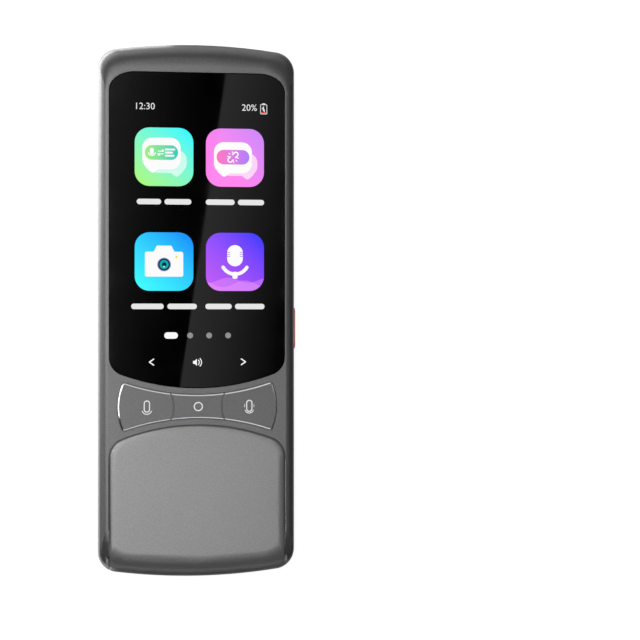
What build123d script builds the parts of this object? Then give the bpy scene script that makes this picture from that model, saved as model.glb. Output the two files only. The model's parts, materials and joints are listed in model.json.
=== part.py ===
from build123d import *
import math
import os

# Handheld translator: touch screen, three front keys, a side key and a slide-off lower cover.
# Millimetres. The device lies on its back: z = 0 is the rear face, the screen looks along +Z,
# the top end points along +Y, and the origin is the middle of the rear face.

os.makedirs("parts", exist_ok=True)

# ---- overall form
body_length = 146.4
body_width = 54.0
body_thickness = 13.5
end_bow_radius = 160.0        # both ends are shallow arcs in plan
corner_radius = 5.6
rear_height = 3.4             # the rear cover ends here, at the parting line
rear_inset = 0.7              # the rear cover is drawn in by this much all round
rear_edge_radius = 2.8
rim_chamfer = 0.4             # bright cut edge of the rear cover
parting_chamfer = 0.5         # cut edge of the front housing at the parting line
roll_start = 8.6              # the front edge starts to roll over at this height
side_roll = 2.6               # how far the roll reaches in at the sides
end_roll = 6.4                # and at the two ends
corner_growth = 2.0           # the plan corners soften by this much over the roll
roll_steps = 5                # straight-ruled bands that a rolled edge is drawn with
hidden_round_sides = 8        # small rounds inside the body are drawn with this many sides

# ---- clearances
part_gap = 0.1                # between pieces that are fixed to each other
moving_gap = 0.2              # between pieces that move past each other
seam_gap = 0.2                # visible seams
seat_gap = 0.05               # between hidden pieces that touch
press_reserve = 0.1           # left over under a key that is fully pressed

# ---- walls
housing_wall = 2.0
deck_thickness = 2.2          # front deck around the glass and the keys
floor_thickness = 1.5         # rear cover floor
cover_wall = 1.3
tongue_gap = 0.15             # between the housing wall and the rear cover's tongue
tongue_width = 0.75
tongue_height = 1.2
snap_length = 7.0
snap_depth = 0.35
snap_height = 0.7
snap_play = 0.3               # a snap pocket is longer than its bead by this much at each end
upper_snap_margins = (23.2, 51.2)   # from the top end
lower_snap_margins = (43.2, 17.2)   # from the lower end

# ---- glass and display
glass_side_margin = 3.1       # housing beside the glass
glass_top_margin = 8.36       # housing above the glass
glass_bottom = -21.2          # lowest point of the bowed lower edge
glass_bow_radius = 59.5
glass_corner_x = 7.1
glass_corner_y = 5.0
glass_lower_corner = 5.0
glass_thickness = 1.0
glass_edge_chamfer = 0.15
gasket_thickness = 0.2
gasket_margin = 0.3
display_side_margin = 3.7     # from the edge of the glass to the display
display_end_margin = 6.7
display_thickness = 1.7
window_margin = 0.4           # play round the display in its window

# ---- key band
key_bridge = 1.9              # deck left between the glass and the keys
key_waist_height = 6.3        # band height on the centre line
key_bow_radius = 61.0
key_side_margin = 6.8         # from the body side to the band corners
key_bulge = 1.4               # the outer ends bulge by this much
key_corner = 0.7
key_split = 13.0              # distance between the two splits at their waist
key_split_radius = 8.1
key_split_reach = 5.06        # half the height of the split arcs
key_gap = 0.3
key_rise = 0.3                # the keys stand this far above the glass
key_bevel = 0.3
key_travel = 0.35
key_flange = 0.7
key_flange_height = 0.8
key_icon_spacing = 14.0

# ---- side key
side_key_middle = -4.95
side_key_length = 11.5
side_key_height = 2.6
side_key_level = 6.9
side_key_proud = 0.45
side_key_edge = 0.2
side_key_travel = 0.3
side_key_flange = 0.8
side_key_flange_thickness = 0.6
switch_length = 4.6
switch_depth = 2.2
switch_height = 1.6
plunger_length = 1.8
plunger_height = 0.8

# ---- lower cover
cover_bridge = 1.95           # deck left between the keys and the lower cover
cover_side_margin = 3.1       # housing beside the cover
cover_bow_radius = 57.5
cover_corner = 5.4
crown_width = 2.0             # soft rolled border of the cover
crown_height = 0.4
crown_steps = 2
rail_width = 0.8
rail_height = 1.0
rail_root = 1.5               # the part of a rail that lies in the cover's own wall
rail_setback = 10.65          # from the cover's upper edge to the start of the rails
bay_setback = 7.65            # and to the bay
bay_ledge = 1.7               # ledge beside the bay that carries the cover
bay_wall = 2.4
bay_level = 9.4
bay_floor = 1.0

# ---- boards and inner parts
board_level = 7.2             # rear side of the main board
board_thickness = 1.0
board_inset = 2.7
frame_thickness = 0.6
frame_end_margin = 0.8
frame_window_length = 26.0
frame_window_width = 7.0
frame_window_pitch = 18.0
frame_window_corner = 2.0
screw_side_margin = 4.4
screw_top_margin = 13.2       # from the top end to the first row of screws
screw_low_margin = 5.2        # from the lower edge of the glass to the last row
screw_radius = 0.65
screw_head_radius = 1.3
screw_head_height = 0.6
screw_end_gap = 0.3
thread_gap = 0.03
pilot_roof = 0.3              # deck left above a pilot hole
boss_radius = 1.7
can_edge = 0.3
can_gap = 2.5
radio_can_width = 20.0
radio_can_length = 22.0
power_can_width = 17.0
power_can_length = 16.0
processor_can_width = 26.0
processor_can_length = 18.0
can_row_margin = 2.7          # from the camera to the middle of the upper cans
can_row_pitch = 36.0
battery_side_margin = 8.0
battery_length = 48.0
battery_thickness = 4.8
battery_corner = 1.2
battery_camera_distance = 33.3
battery_pad_thickness = 0.3
battery_pad_margin = 2.0
terminal_margin = 6.0         # from the battery's side to the middle of its terminals
terminal_width = 7.0
terminal_depth = 2.2
ribbon_width = 12.0
ribbon_thickness = 0.15
ribbon_play = 1.5             # room beside the ribbon in the display frame
ribbon_tail = 6.0
ribbon_plug_length = 2.4
ribbon_plug_height = 0.5
ribbon_ledge = 0.4            # height of the display's ledge that takes the ribbon
ribbon_reach = 0.5
dome_radius = 2.4
dome_height = 0.3
dome_play = 0.2
pad_thickness = 1.0
pad_width = 11.0
pad_end_margin = 6.0          # pad beyond the outer key bosses
pad_corner = 1.5
pad_boss_radius = 2.2

# ---- rear face
grille_end_distance = 16.0
camera_grille_distance = 15.9
camera_hole_radius = 5.05
camera_lip_chamfer = 0.5
camera_disc_recess = 0.55
camera_cone_depth = 0.75
camera_barrel_radius = 1.85
camera_barrel_proud = 0.25
camera_lens_radius = 1.0
camera_lens_recess = 0.3
camera_lens_thickness = 0.5
camera_lens_edge = 0.2
camera_flange = 1.15          # flange of the disc behind the rear cover
camera_flange_thickness = 0.6
camera_body_width = 8.5
camera_body_corner = 0.5
grille_columns = 18
grille_rows = 4
grille_pitch_x = 1.45
grille_pitch_y = 1.33
grille_hole_radius = 0.4
grille_hole_sides = 6         # the many small holes are drawn with few sides
speaker_length = 28.0
speaker_width = 11.0
speaker_thickness = 4.0
speaker_corner = 1.2
speaker_rim = 2.0
diaphragm_depth = 0.5
mesh_thickness = 0.15
speaker_gasket_thickness = 0.5
speaker_gasket_width = 0.8
rib_thickness = 0.8
rib_height = 2.2

# ---- connector and microphones at the lower end
usb_width = 8.94
usb_height = 3.16
usb_length = 7.3
usb_level = 5.9
usb_wall = 0.3
usb_back = 0.8                # closed rear end of the shell
usb_gap = 0.18                # round the shell in the housing's opening
usb_recess = 0.6
usb_notch_margin = 0.5
usb_tongue_width = 6.69
usb_tongue_thickness = 0.7
usb_tongue_recess = 1.0
usb_tab_length = 3.0
usb_tab_reach = 1.5
mic_spacing = 30.0
mic_hole_radius = 0.5
mic_level = 5.9
mic_width = 3.8
mic_length = 2.8
mic_height = 1.9
mic_boot_width = 4.0
mic_boot_length = 1.6
mic_boot_drop = 1.3           # the boot reaches this far below the hole's middle

# ---- card reader
card_length = 12.3
card_width = 8.8
card_thickness = 0.67
card_notch = 1.6
card_x = 0.4
card_end_distance = 19.2
card_travel = 12.6
card_exposed = 1.2            # the card sticks out of its reader by this much
card_finger_room = 2.2        # window round the card and its travel
reader_wall = 0.4
reader_roof = 0.2

# ---- vibration motor and antenna
motor_radius = 4.0
motor_height = 2.7
motor_x = -13.0
motor_end_distance = 29.2
antenna_width = 34.0
antenna_depth = 6.0
antenna_height = 5.6
antenna_thickness = 0.2
antenna_gap = 0.4             # above the rear cover's tongue

# ---- heights that follow
roll_height = body_thickness - roll_start
deck_underside = body_thickness - deck_thickness
glass_underside = body_thickness - glass_thickness
glass_seat = glass_underside - gasket_thickness
display_rear = glass_seat - display_thickness
frame_rear = display_rear - frame_thickness
board_front = board_level + board_thickness
key_face_level = body_thickness + key_rise
key_flange_top = deck_underside - moving_gap
key_flange_bottom = key_flange_top - key_flange_height
pad_boss_top = key_flange_bottom - key_travel - press_reserve
bay_floor_underside = bay_level - bay_floor
cover_underside = body_thickness - cover_wall
battery_rear = floor_thickness + battery_pad_thickness
snap_level = rear_height + tongue_height - snap_height
card_level = board_front + reader_wall
camera_cone_level = camera_disc_recess + camera_cone_depth
camera_barrel_level = camera_cone_level - camera_barrel_proud
camera_module_level = floor_thickness + camera_flange_thickness

# ---- places that follow
end_y = body_length / 2
wall_x = body_width / 2 - housing_wall
tongue_inset = housing_wall + tongue_gap
glass_width = body_width - 2 * glass_side_margin
glass_top = end_y - glass_top_margin
display_width = glass_width - 2 * display_side_margin
display_top = glass_top - display_end_margin
display_low = glass_bottom + display_end_margin
display_length = display_top - display_low
display_middle = (display_top + display_low) / 2
key_middle = glass_bottom - key_bridge - key_waist_height / 2
key_end_x = body_width / 2 - key_side_margin
cover_top = key_middle - key_waist_height / 2 - cover_bridge
cover_width = body_width - 2 * cover_side_margin
bay_top = cover_top - bay_setback
bay_width = cover_width - 2 * bay_ledge
rail_start = cover_top - rail_setback
screw_x = body_width / 2 - screw_side_margin
screw_top = end_y - screw_top_margin
screw_low = glass_bottom + screw_low_margin
screw_rows = (screw_top, (screw_top + screw_low) / 2, screw_low)
snap_rows = [end_y - margin for margin in upper_snap_margins]
snap_rows += [margin - end_y for margin in lower_snap_margins]
grille_y = end_y - grille_end_distance
camera_y = grille_y - camera_grille_distance
battery_width = body_width - 2 * battery_side_margin
battery_middle = camera_y - battery_camera_distance
can_row = camera_y + can_row_margin
card_y = card_end_distance - end_y
motor_y = motor_end_distance - end_y

end_plane = Plane((0, -end_y, 0), x_dir=(1, 0, 0), z_dir=(0, 1, 0))
usb_plane = Plane((0, -end_y + usb_recess, usb_level), x_dir=(1, 0, 0), z_dir=(0, 1, 0))
side_key_plane = Plane((wall_x, side_key_middle, side_key_level), x_dir=(0, 1, 0), z_dir=(1, 0, 0))
camera_axis = Axis((0, camera_y, 0), (0, 0, 1))


def plan_face(height, side_inset, end_inset, corner):
    """Plan outline at a height: straight sides, bowed ends and rounded corners."""
    half_width = body_width / 2 - side_inset
    half_length = body_length / 2 - end_inset
    bow = end_bow_radius - end_inset
    side_end = half_length - bow + math.sqrt(bow**2 - half_width**2)
    with BuildSketch(Plane.XY.offset(height)) as plan:
        with BuildLine():
            Line((half_width, -side_end), (half_width, side_end))
            ThreePointArc((half_width, side_end), (0, half_length), (-half_width, side_end))
            Line((-half_width, side_end), (-half_width, -side_end))
            ThreePointArc((-half_width, -side_end), (0, -half_length), (half_width, -side_end))
        make_face()
        fillet(plan.vertices(), corner)
    return plan.sketch


def inset_plan(height, inset):
    """Plan outline drawn in by the same amount all round."""
    return plan_face(height, inset, inset, corner_radius - inset)


def roll_sections(level, rise, inset, side_reach, end_reach, growth):
    """Plan sections of a rolled edge, a quarter turn from an upright wall to a flat face."""
    sections = []
    for step in range(roll_steps + 1):
        turn = math.radians(90 * step / roll_steps)
        drawn = 1 - math.cos(turn)
        sections.append(
            plan_face(
                level + rise * math.sin(turn),
                inset + side_reach * drawn,
                inset + end_reach * drawn,
                corner_radius - inset + growth * drawn,
            )
        )
    return sections


def front_form(wall):
    """Outer form of the front half from the parting line up, drawn in by a wall thickness."""
    side_reach = side_roll - wall
    end_reach = end_roll - wall
    with BuildPart() as form:
        extrude(inset_plan(rear_height, wall), amount=roll_start - rear_height)
        loft(roll_sections(roll_start, roll_height - wall, wall, side_reach, end_reach,
                           corner_growth + wall), ruled=True)
    return form.part


def glass_face(height, inset):
    """Cover glass outline: straight top, oval upper corners and a bowed lower edge."""
    half_width = glass_width / 2 - inset
    top = glass_top - inset
    oval_x = glass_corner_x - inset
    oval_y = glass_corner_y - inset
    bow = glass_bow_radius - inset
    side_end = glass_bottom + glass_bow_radius - math.sqrt(bow**2 - half_width**2)
    with BuildSketch(Plane.XY.offset(height)) as glass:
        with BuildLine():
            Line((-half_width, side_end), (-half_width, top - oval_y))
            EllipticalCenterArc(
                (-half_width + oval_x, top - oval_y), oval_x, oval_y, start_angle=90, arc_size=90
            )
            Line((-half_width + oval_x, top), (half_width - oval_x, top))
            EllipticalCenterArc(
                (half_width - oval_x, top - oval_y), oval_x, oval_y, start_angle=0, arc_size=90
            )
            Line((half_width, top - oval_y), (half_width, side_end))
            ThreePointArc(
                (half_width, side_end), (0, glass_bottom + inset), (-half_width, side_end)
            )
        make_face()
        fillet(glass.vertices().group_by(Axis.Y)[0], glass_lower_corner - inset)
    return glass.sketch


def key_band_face(height, grow):
    """Bow-tie outline of the three keys together, grown by a clearance or a flange."""
    waist = key_waist_height / 2
    sag = key_bow_radius - math.sqrt(key_bow_radius**2 - key_end_x**2)
    with BuildSketch(Plane.XY.offset(height)) as band:
        with BuildLine():
            for end in (1, -1):
                ThreePointArc(
                    (-end * key_end_x, key_middle + end * (waist + sag)),
                    (0, key_middle + end * waist),
                    (end * key_end_x, key_middle + end * (waist + sag)),
                )
                ThreePointArc(
                    (end * key_end_x, key_middle + end * (waist + sag)),
                    (end * (key_end_x + key_bulge), key_middle),
                    (end * key_end_x, key_middle - end * (waist + sag)),
                )
        make_face()
        fillet(band.vertices(), key_corner)
        if grow > 0:
            offset(amount=grow, kind=Kind.ARC)
    return band.sketch


def centre_key_zone(height, grow):
    """Plan zone of the centre key: its two sides are hollow arcs."""
    waist = key_split / 2 + grow
    flare = waist + key_split_radius - math.sqrt(key_split_radius**2 - key_split_reach**2)
    with BuildSketch(Plane.XY.offset(height)) as zone:
        with BuildLine():
            for side in (1, -1):
                ThreePointArc(
                    (side * flare, key_middle + side * key_split_reach),
                    (side * waist, key_middle),
                    (side * flare, key_middle - side * key_split_reach),
                )
                Line(
                    (side * flare, key_middle - side * key_split_reach),
                    (-side * flare, key_middle - side * key_split_reach),
                )
        make_face()
    return zone.sketch


def key_face(height, side, grow):
    """Outline of one key: side is -1 for the left one, 0 for the centre, 1 for the right."""
    with BuildSketch(Plane.XY.offset(height)) as face:
        add(key_band_face(0, grow))
        if side == 0:
            add(centre_key_zone(0, -key_gap / 2), mode=Mode.INTERSECT)
        else:
            add(centre_key_zone(0, key_gap / 2), mode=Mode.SUBTRACT)
            with Locations((side * body_width / 2, key_middle)):
                Rectangle(body_width, body_width, mode=Mode.INTERSECT)
    return face.sketch


def key_form(side, cap_stock):
    """One key: a cap cut from the bevelled band and a flange that holds it under the deck."""
    with BuildPart() as key:
        extrude(key_face(key_flange_top, side, part_gap), amount=key_face_level - key_flange_top)
        add(cap_stock, mode=Mode.INTERSECT)
        extrude(key_face(key_flange_bottom, side, key_flange), amount=key_flange_height)
    return key.part


def cover_face(height, inset):
    """Plan zone of the lower cover, which runs out past the lower end."""
    half_width = cover_width / 2 - inset
    bow = cover_bow_radius - inset
    side_start = cover_top - cover_bow_radius + math.sqrt(bow**2 - half_width**2)
    low = -end_y - cover_wall
    with BuildSketch(Plane.XY.offset(height)) as zone:
        with BuildLine():
            Line((half_width, low), (half_width, side_start))
            ThreePointArc(
                (half_width, side_start), (0, cover_top - inset), (-half_width, side_start)
            )
            Line((-half_width, side_start), (-half_width, low))
            Line((-half_width, low), (half_width, low))
        make_face()
        fillet(zone.vertices().group_by(Axis.Y)[-1], cover_corner - inset)
    return zone.sketch


def screw_pattern(height, radius):
    """Small rounds of one size on all the screw axes."""
    with BuildSketch(Plane.XY.offset(height)) as pattern:
        for row in screw_rows:
            with Locations((screw_x, row), (-screw_x, row)):
                RegularPolygon(radius, hidden_round_sides)
    return pattern.sketch


def key_pattern(height, radius):
    """Small rounds of one size under the three keys."""
    with BuildSketch(Plane.XY.offset(height)) as pattern:
        with Locations((0, key_middle)):
            with GridLocations(key_icon_spacing, 1, 3, 1):
                RegularPolygon(radius, hidden_round_sides)
    return pattern.sketch


# ---- forms that more than one piece is cut from
outer_form = front_form(0)
cover_lining = front_form(cover_wall)

with BuildPart() as cover_space:
    extrude(cover_face(roll_start - seam_gap, -seam_gap), amount=body_thickness)
    add(front_form(cover_wall + seam_gap), mode=Mode.SUBTRACT)

with BuildPart() as key_stock:
    extrude(key_band_face(key_flange_top, 0), amount=key_face_level - key_flange_top)
    chamfer(key_stock.edges().group_by(Axis.Z)[-1], key_bevel)

# ---- front housing: moulded frame with the glass seat, key opening, rails and card bay
with BuildPart() as front_housing:
    add(outer_form)
    chamfer(front_housing.edges().group_by(Axis.Z)[0], parting_chamfer)

    # the hollow behind the deck, lower down under the card bay
    extrude(inset_plan(rear_height, housing_wall), amount=bay_floor_underside - rear_height,
            mode=Mode.SUBTRACT)
    with BuildSketch(Plane.XY.offset(bay_floor_underside)) as upper_hollow:
        add(inset_plan(0, housing_wall))
        with Locations((0, bay_top + bay_wall)):
            Rectangle(body_width, body_length, align=(Align.CENTER, Align.MIN), mode=Mode.INTERSECT)
    extrude(amount=deck_underside - bay_floor_underside, mode=Mode.SUBTRACT)

    # glass seat and display window
    extrude(glass_face(glass_seat, -part_gap), amount=body_thickness, mode=Mode.SUBTRACT)
    with BuildSketch(Plane.XY.offset(deck_underside)) as display_window:
        with Locations((0, display_middle)):
            Rectangle(display_width + 2 * window_margin, display_length + 2 * window_margin)
    extrude(amount=deck_thickness, mode=Mode.SUBTRACT)

    # one opening for the three keys
    extrude(key_band_face(deck_underside, moving_gap), amount=2 * deck_thickness, mode=Mode.SUBTRACT)

    # seat and rail grooves of the lower cover, and the bay under it
    add(cover_space.part, mode=Mode.SUBTRACT)
    with BuildSketch(Plane.XY.offset(cover_underside - rail_height - moving_gap)) as grooves:
        with Locations((0, rail_start + rail_width)):
            Rectangle(cover_width + 2 * (rail_width + moving_gap), body_length,
                      align=(Align.CENTER, Align.MAX))
    extrude(amount=rail_height + 2 * moving_gap, mode=Mode.SUBTRACT)
    with BuildSketch(Plane.XY.offset(bay_level)) as bay:
        with Locations((0, bay_top)):
            Rectangle(bay_width, body_length, align=(Align.CENTER, Align.MAX))
    extrude(amount=body_thickness, mode=Mode.SUBTRACT)

    # window over the card reader
    with BuildSketch(Plane.XY.offset(bay_floor_underside)) as reader_window:
        with Locations((card_x + card_travel / 2, card_y)):
            Rectangle(card_length + card_travel + card_finger_room, card_width + 2 * card_finger_room)
        chamfer(reader_window.vertices(), bay_floor)
    extrude(amount=bay_floor, mode=Mode.SUBTRACT)

    # screw bosses under the deck and their pilot holes
    extrude(screw_pattern(display_rear, boss_radius), amount=deck_underside - display_rear)
    extrude(screw_pattern(display_rear, screw_radius + thread_gap),
            amount=glass_seat - display_rear - pilot_roof, mode=Mode.SUBTRACT)

    # side key opening, connector opening and microphone holes
    with BuildSketch(side_key_plane.offset(-housing_wall)) as side_opening:
        SlotOverall(side_key_length + 2 * moving_gap, side_key_height + 2 * moving_gap)
    extrude(amount=3 * housing_wall, mode=Mode.SUBTRACT)
    with BuildSketch(usb_plane.offset(-2 * usb_recess)) as usb_opening:
        SlotOverall(usb_width + 2 * usb_gap, usb_height + 2 * usb_gap)
    extrude(amount=2 * housing_wall, mode=Mode.SUBTRACT)
    with BuildSketch(end_plane) as mic_holes:
        with Locations((0, mic_level)):
            with GridLocations(mic_spacing, 1, 2, 1):
                Circle(mic_hole_radius)
    extrude(amount=2 * housing_wall, mode=Mode.SUBTRACT)

    # pockets that take the rear cover's snap beads
    with BuildSketch(Plane.XY.offset(snap_level - part_gap)) as snap_pockets:
        for row in snap_rows:
            with Locations((wall_x, row), (-wall_x, row)):
                Rectangle(2 * (snap_depth + part_gap), snap_length + 2 * snap_play)
    extrude(amount=snap_height + 2 * part_gap, mode=Mode.SUBTRACT)
front_housing.part.label = "front_housing"
export_step(front_housing.part, "parts/front_housing.step")

# ---- rear cover: shallow tray with a bright cut rim, a tongue, ribs, grille and camera hole
with BuildPart() as rear_cover:
    rear_edge = roll_sections(rear_edge_radius, -rear_edge_radius, rear_inset, rear_edge_radius,
                              rear_edge_radius, -rear_edge_radius)
    loft(rear_edge[::-1], ruled=True)
    extrude(inset_plan(rear_edge_radius, rear_inset), amount=rear_height - rear_edge_radius)
    chamfer(rear_cover.edges().group_by(Axis.Z)[-1], rim_chamfer)
    extrude(inset_plan(rear_height, tongue_inset), amount=tongue_height)
    extrude(inset_plan(floor_thickness, tongue_inset + tongue_width), amount=body_thickness,
            mode=Mode.SUBTRACT)
    with BuildSketch(Plane.XY.offset(rear_height)) as connector_notch:
        with Locations((0, -end_y)):
            Rectangle(usb_width + 2 * usb_notch_margin, usb_length)
    extrude(amount=body_thickness, mode=Mode.SUBTRACT)

    # ribs that frame the battery and the loudspeaker
    with BuildSketch(Plane.XY.offset(floor_thickness)) as ribs:
        with Locations((0, battery_middle)):
            Rectangle(battery_width + 2 * (part_gap + rib_thickness), battery_length)
            Rectangle(battery_width + 2 * part_gap, battery_length, mode=Mode.SUBTRACT)
        with Locations((0, grille_y)):
            Rectangle(speaker_length + 2 * (moving_gap + rib_thickness),
                      speaker_width + 2 * (moving_gap + rib_thickness))
            Rectangle(speaker_length + 2 * moving_gap, speaker_width + 2 * moving_gap,
                      mode=Mode.SUBTRACT)
    extrude(amount=rib_height)

    # snap beads on the tongue
    with BuildSketch(Plane.XY.offset(snap_level)) as snap_beads:
        tongue_x = body_width / 2 - tongue_inset
        for row in snap_rows:
            with Locations((tongue_x, row), (-tongue_x, row)):
                Rectangle(2 * snap_depth, snap_length)
    extrude(amount=snap_height)

    # camera hole and speaker grille
    with Locations(Plane((0, camera_y, 0), z_dir=(0, 0, -1))):
        Hole(camera_hole_radius)
    chamfer(rear_cover.edges(Select.LAST).group_by(Axis.Z)[0], camera_lip_chamfer)
    with BuildSketch() as grille:
        with Locations((0, grille_y)):
            with GridLocations(grille_pitch_x, grille_pitch_y, grille_columns, grille_rows):
                RegularPolygon(grille_hole_radius, grille_hole_sides)
    extrude(amount=floor_thickness, mode=Mode.SUBTRACT)
rear_cover.part.label = "rear_cover"
export_step(rear_cover.part, "parts/rear_cover.step")

# ---- cover glass, its gasket and the display behind it
with BuildPart() as cover_glass:
    extrude(glass_face(glass_underside, 0), amount=glass_thickness)
    chamfer(cover_glass.edges().group_by(Axis.Z)[-1], glass_edge_chamfer)
cover_glass.part.label = "cover_glass"
export_step(cover_glass.part, "parts/cover_glass.step")

with BuildPart() as glass_gasket:
    with BuildSketch(Plane.XY.offset(glass_seat)) as gasket_ring:
        add(glass_face(0, gasket_margin))
        with Locations((0, display_middle)):
            Rectangle(display_width + 2 * window_margin + gasket_margin,
                      display_length + 2 * window_margin + gasket_margin, mode=Mode.SUBTRACT)
    extrude(amount=gasket_thickness)
glass_gasket.part.label = "glass_gasket"
export_step(glass_gasket.part, "parts/glass_gasket.step")

with BuildPart() as touch_sensor:
    with BuildSketch(Plane.XY.offset(glass_seat)) as sensor_film:
        with Locations((0, display_middle)):
            Rectangle(display_width, display_length)
    extrude(amount=gasket_thickness)
touch_sensor.part.label = "touch_sensor"
export_step(touch_sensor.part, "parts/touch_sensor.step")

with BuildPart() as display_module:
    with BuildSketch(Plane.XY.offset(display_rear)) as panel:
        with Locations((0, display_middle)):
            Rectangle(display_width, display_length)
    extrude(amount=display_thickness)
display_module.part.label = "display_module"
export_step(display_module.part, "parts/display_module.step")

# ---- pressed frame behind the display, with posts that space the main board
with BuildPart() as display_frame:
    with BuildSketch(Plane.XY.offset(frame_rear)) as frame_plate:
        frame_low = screw_low - boss_radius - frame_end_margin
        frame_high = screw_top + boss_radius + frame_end_margin
        add(inset_plan(0, board_inset))
        with Locations((0, frame_low)):
            Rectangle(body_width, frame_high - frame_low, align=(Align.CENTER, Align.MIN),
                      mode=Mode.INTERSECT)
        with Locations((0, display_low + part_gap)):
            Rectangle(ribbon_width + 2 * ribbon_play, body_width, align=(Align.CENTER, Align.MAX),
                      mode=Mode.SUBTRACT)
    extrude(amount=frame_thickness)
    with BuildSketch(Plane.XY.offset(frame_rear)) as frame_windows:
        with Locations((0, display_middle)):
            with GridLocations(1, frame_window_pitch, 1, 3):
                Rectangle(frame_window_length, frame_window_width)
        chamfer(frame_windows.vertices(), frame_window_corner)
    extrude(amount=frame_thickness, mode=Mode.SUBTRACT)
    extrude(screw_pattern(board_front, boss_radius), amount=frame_rear - board_front)
    extrude(screw_pattern(board_front, screw_radius + part_gap), amount=display_rear - board_front,
            mode=Mode.SUBTRACT)
display_frame.part.label = "display_frame"
export_step(display_frame.part, "parts/display_frame.step")

# ---- ribbon from the display's lower ledge round the frame to the main board
with BuildPart() as display_ribbon:
    ribbon_top = display_rear + ribbon_ledge
    ribbon_low = board_front + ribbon_plug_height
    ribbon_middle = (ribbon_top + ribbon_low) / 2
    bend_y = display_low - ribbon_reach
    bend_tip = bend_y - (ribbon_top - ribbon_low) / 2
    with BuildSketch(Plane.YZ.offset(-ribbon_width / 2)) as ribbon_profile:
        with BuildLine():
            Line((display_low, ribbon_top), (bend_y, ribbon_top))
            ThreePointArc((bend_y, ribbon_top), (bend_tip, ribbon_middle), (bend_y, ribbon_low))
            Line((bend_y, ribbon_low), (display_low + ribbon_tail, ribbon_low))
            Line((display_low + ribbon_tail, ribbon_low),
                 (display_low + ribbon_tail, ribbon_low + ribbon_thickness))
            Line((display_low + ribbon_tail, ribbon_low + ribbon_thickness),
                 (bend_y, ribbon_low + ribbon_thickness))
            ThreePointArc((bend_y, ribbon_low + ribbon_thickness),
                          (bend_tip + ribbon_thickness, ribbon_middle),
                          (bend_y, ribbon_top - ribbon_thickness))
            Line((bend_y, ribbon_top - ribbon_thickness), (display_low, ribbon_top - ribbon_thickness))
            Line((display_low, ribbon_top - ribbon_thickness), (display_low, ribbon_top))
        make_face()
    extrude(amount=ribbon_width)
    with BuildSketch(Plane.XY.offset(board_front)) as ribbon_plug:
        with Locations((0, display_low + ribbon_tail)):
            Rectangle(ribbon_width - ribbon_play, ribbon_plug_length, align=(Align.CENTER, Align.MAX))
    extrude(amount=ribbon_plug_height + ribbon_thickness / 2)
display_ribbon.part.label = "display_ribbon"
export_step(display_ribbon.part, "parts/display_ribbon.step")

# ---- main board: the whole length, notched for the side key and the connector
board_side = body_width / 2 - board_inset
notch_depth = board_side - wall_x + press_reserve + side_key_flange_thickness + switch_depth / 2
with BuildPart() as main_board:
    with BuildSketch(Plane.XY.offset(board_level)) as board_outline:
        add(inset_plan(0, board_inset))
        with Locations((board_side, side_key_middle)):
            Rectangle(2 * notch_depth, side_key_length + 4 * side_key_flange, mode=Mode.SUBTRACT)
        with Locations((0, -end_y)):
            Rectangle(usb_width + 2 * usb_notch_margin,
                      2 * (usb_recess + usb_length + usb_notch_margin), mode=Mode.SUBTRACT)
        add(screw_pattern(0, screw_radius + part_gap), mode=Mode.SUBTRACT)
    extrude(amount=board_thickness)
main_board.part.label = "main_board"
export_step(main_board.part, "parts/main_board.step")

with BuildPart() as shield_cans:
    with BuildSketch(Plane.XY.offset(board_front)) as can_outlines:
        with Locations((-can_gap / 2, can_row)):
            Rectangle(radio_can_width, radio_can_length, align=(Align.MAX, Align.CENTER))
        with Locations((can_gap / 2, can_row)):
            Rectangle(power_can_width, power_can_length, align=(Align.MIN, Align.CENTER))
        with Locations((-can_gap, can_row - can_row_pitch)):
            Rectangle(processor_can_width, processor_can_length)
    extrude(amount=frame_rear - board_front - can_edge)
    chamfer(shield_cans.edges().group_by(Axis.Z)[-1], can_edge)
shield_cans.part.label = "shield_cans"
export_step(shield_cans.part, "parts/shield_cans.step")

with BuildPart() as board_screws:
    extrude(screw_pattern(board_level - screw_head_height, screw_head_radius),
            amount=screw_head_height)
    extrude(screw_pattern(board_level, screw_radius),
            amount=glass_seat - pilot_roof - screw_end_gap - board_level)
board_screws.part.label = "board_screws"
export_step(board_screws.part, "parts/board_screws.step")

# ---- battery with its adhesive pad and the terminal block on the board
with BuildPart() as battery:
    with BuildSketch(Plane.XY.offset(battery_rear)) as pouch:
        with Locations((0, battery_middle)):
            Rectangle(battery_width, battery_length)
        chamfer(pouch.vertices(), battery_corner)
    extrude(amount=battery_thickness)
battery.part.label = "battery"
export_step(battery.part, "parts/battery.step")

with BuildPart() as battery_pad:
    with BuildSketch(Plane.XY.offset(floor_thickness)) as pad_outline:
        with Locations((0, battery_middle)):
            Rectangle(battery_width - 2 * battery_pad_margin, battery_length - 2 * battery_pad_margin)
    extrude(amount=battery_pad_thickness)
battery_pad.part.label = "battery_pad"
export_step(battery_pad.part, "parts/battery_pad.step")

with BuildPart() as battery_terminals:
    terminal_level = battery_rear + battery_thickness / 2
    terminal_y = battery_middle + battery_length / 2 + part_gap
    with BuildSketch(Plane.XY.offset(terminal_level)) as terminal_block:
        with Locations((battery_width / 2 - terminal_margin, terminal_y)):
            Rectangle(terminal_width, terminal_depth, align=(Align.CENTER, Align.MIN))
    extrude(amount=board_level - terminal_level)
battery_terminals.part.label = "battery_terminals"
export_step(battery_terminals.part, "parts/battery_terminals.step")

# ---- the three front keys
with BuildPart() as key_left:
    add(key_form(-1, key_stock.part))
key_left.part.label = "key_left"
export_step(key_left.part, "parts/key_left.step")

with BuildPart() as key_centre:
    add(key_form(0, key_stock.part))
key_centre.part.label = "key_centre"
export_step(key_centre.part, "parts/key_centre.step")

with BuildPart() as key_right:
    add(key_form(1, key_stock.part))
key_right.part.label = "key_right"
export_step(key_right.part, "parts/key_right.step")

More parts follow.
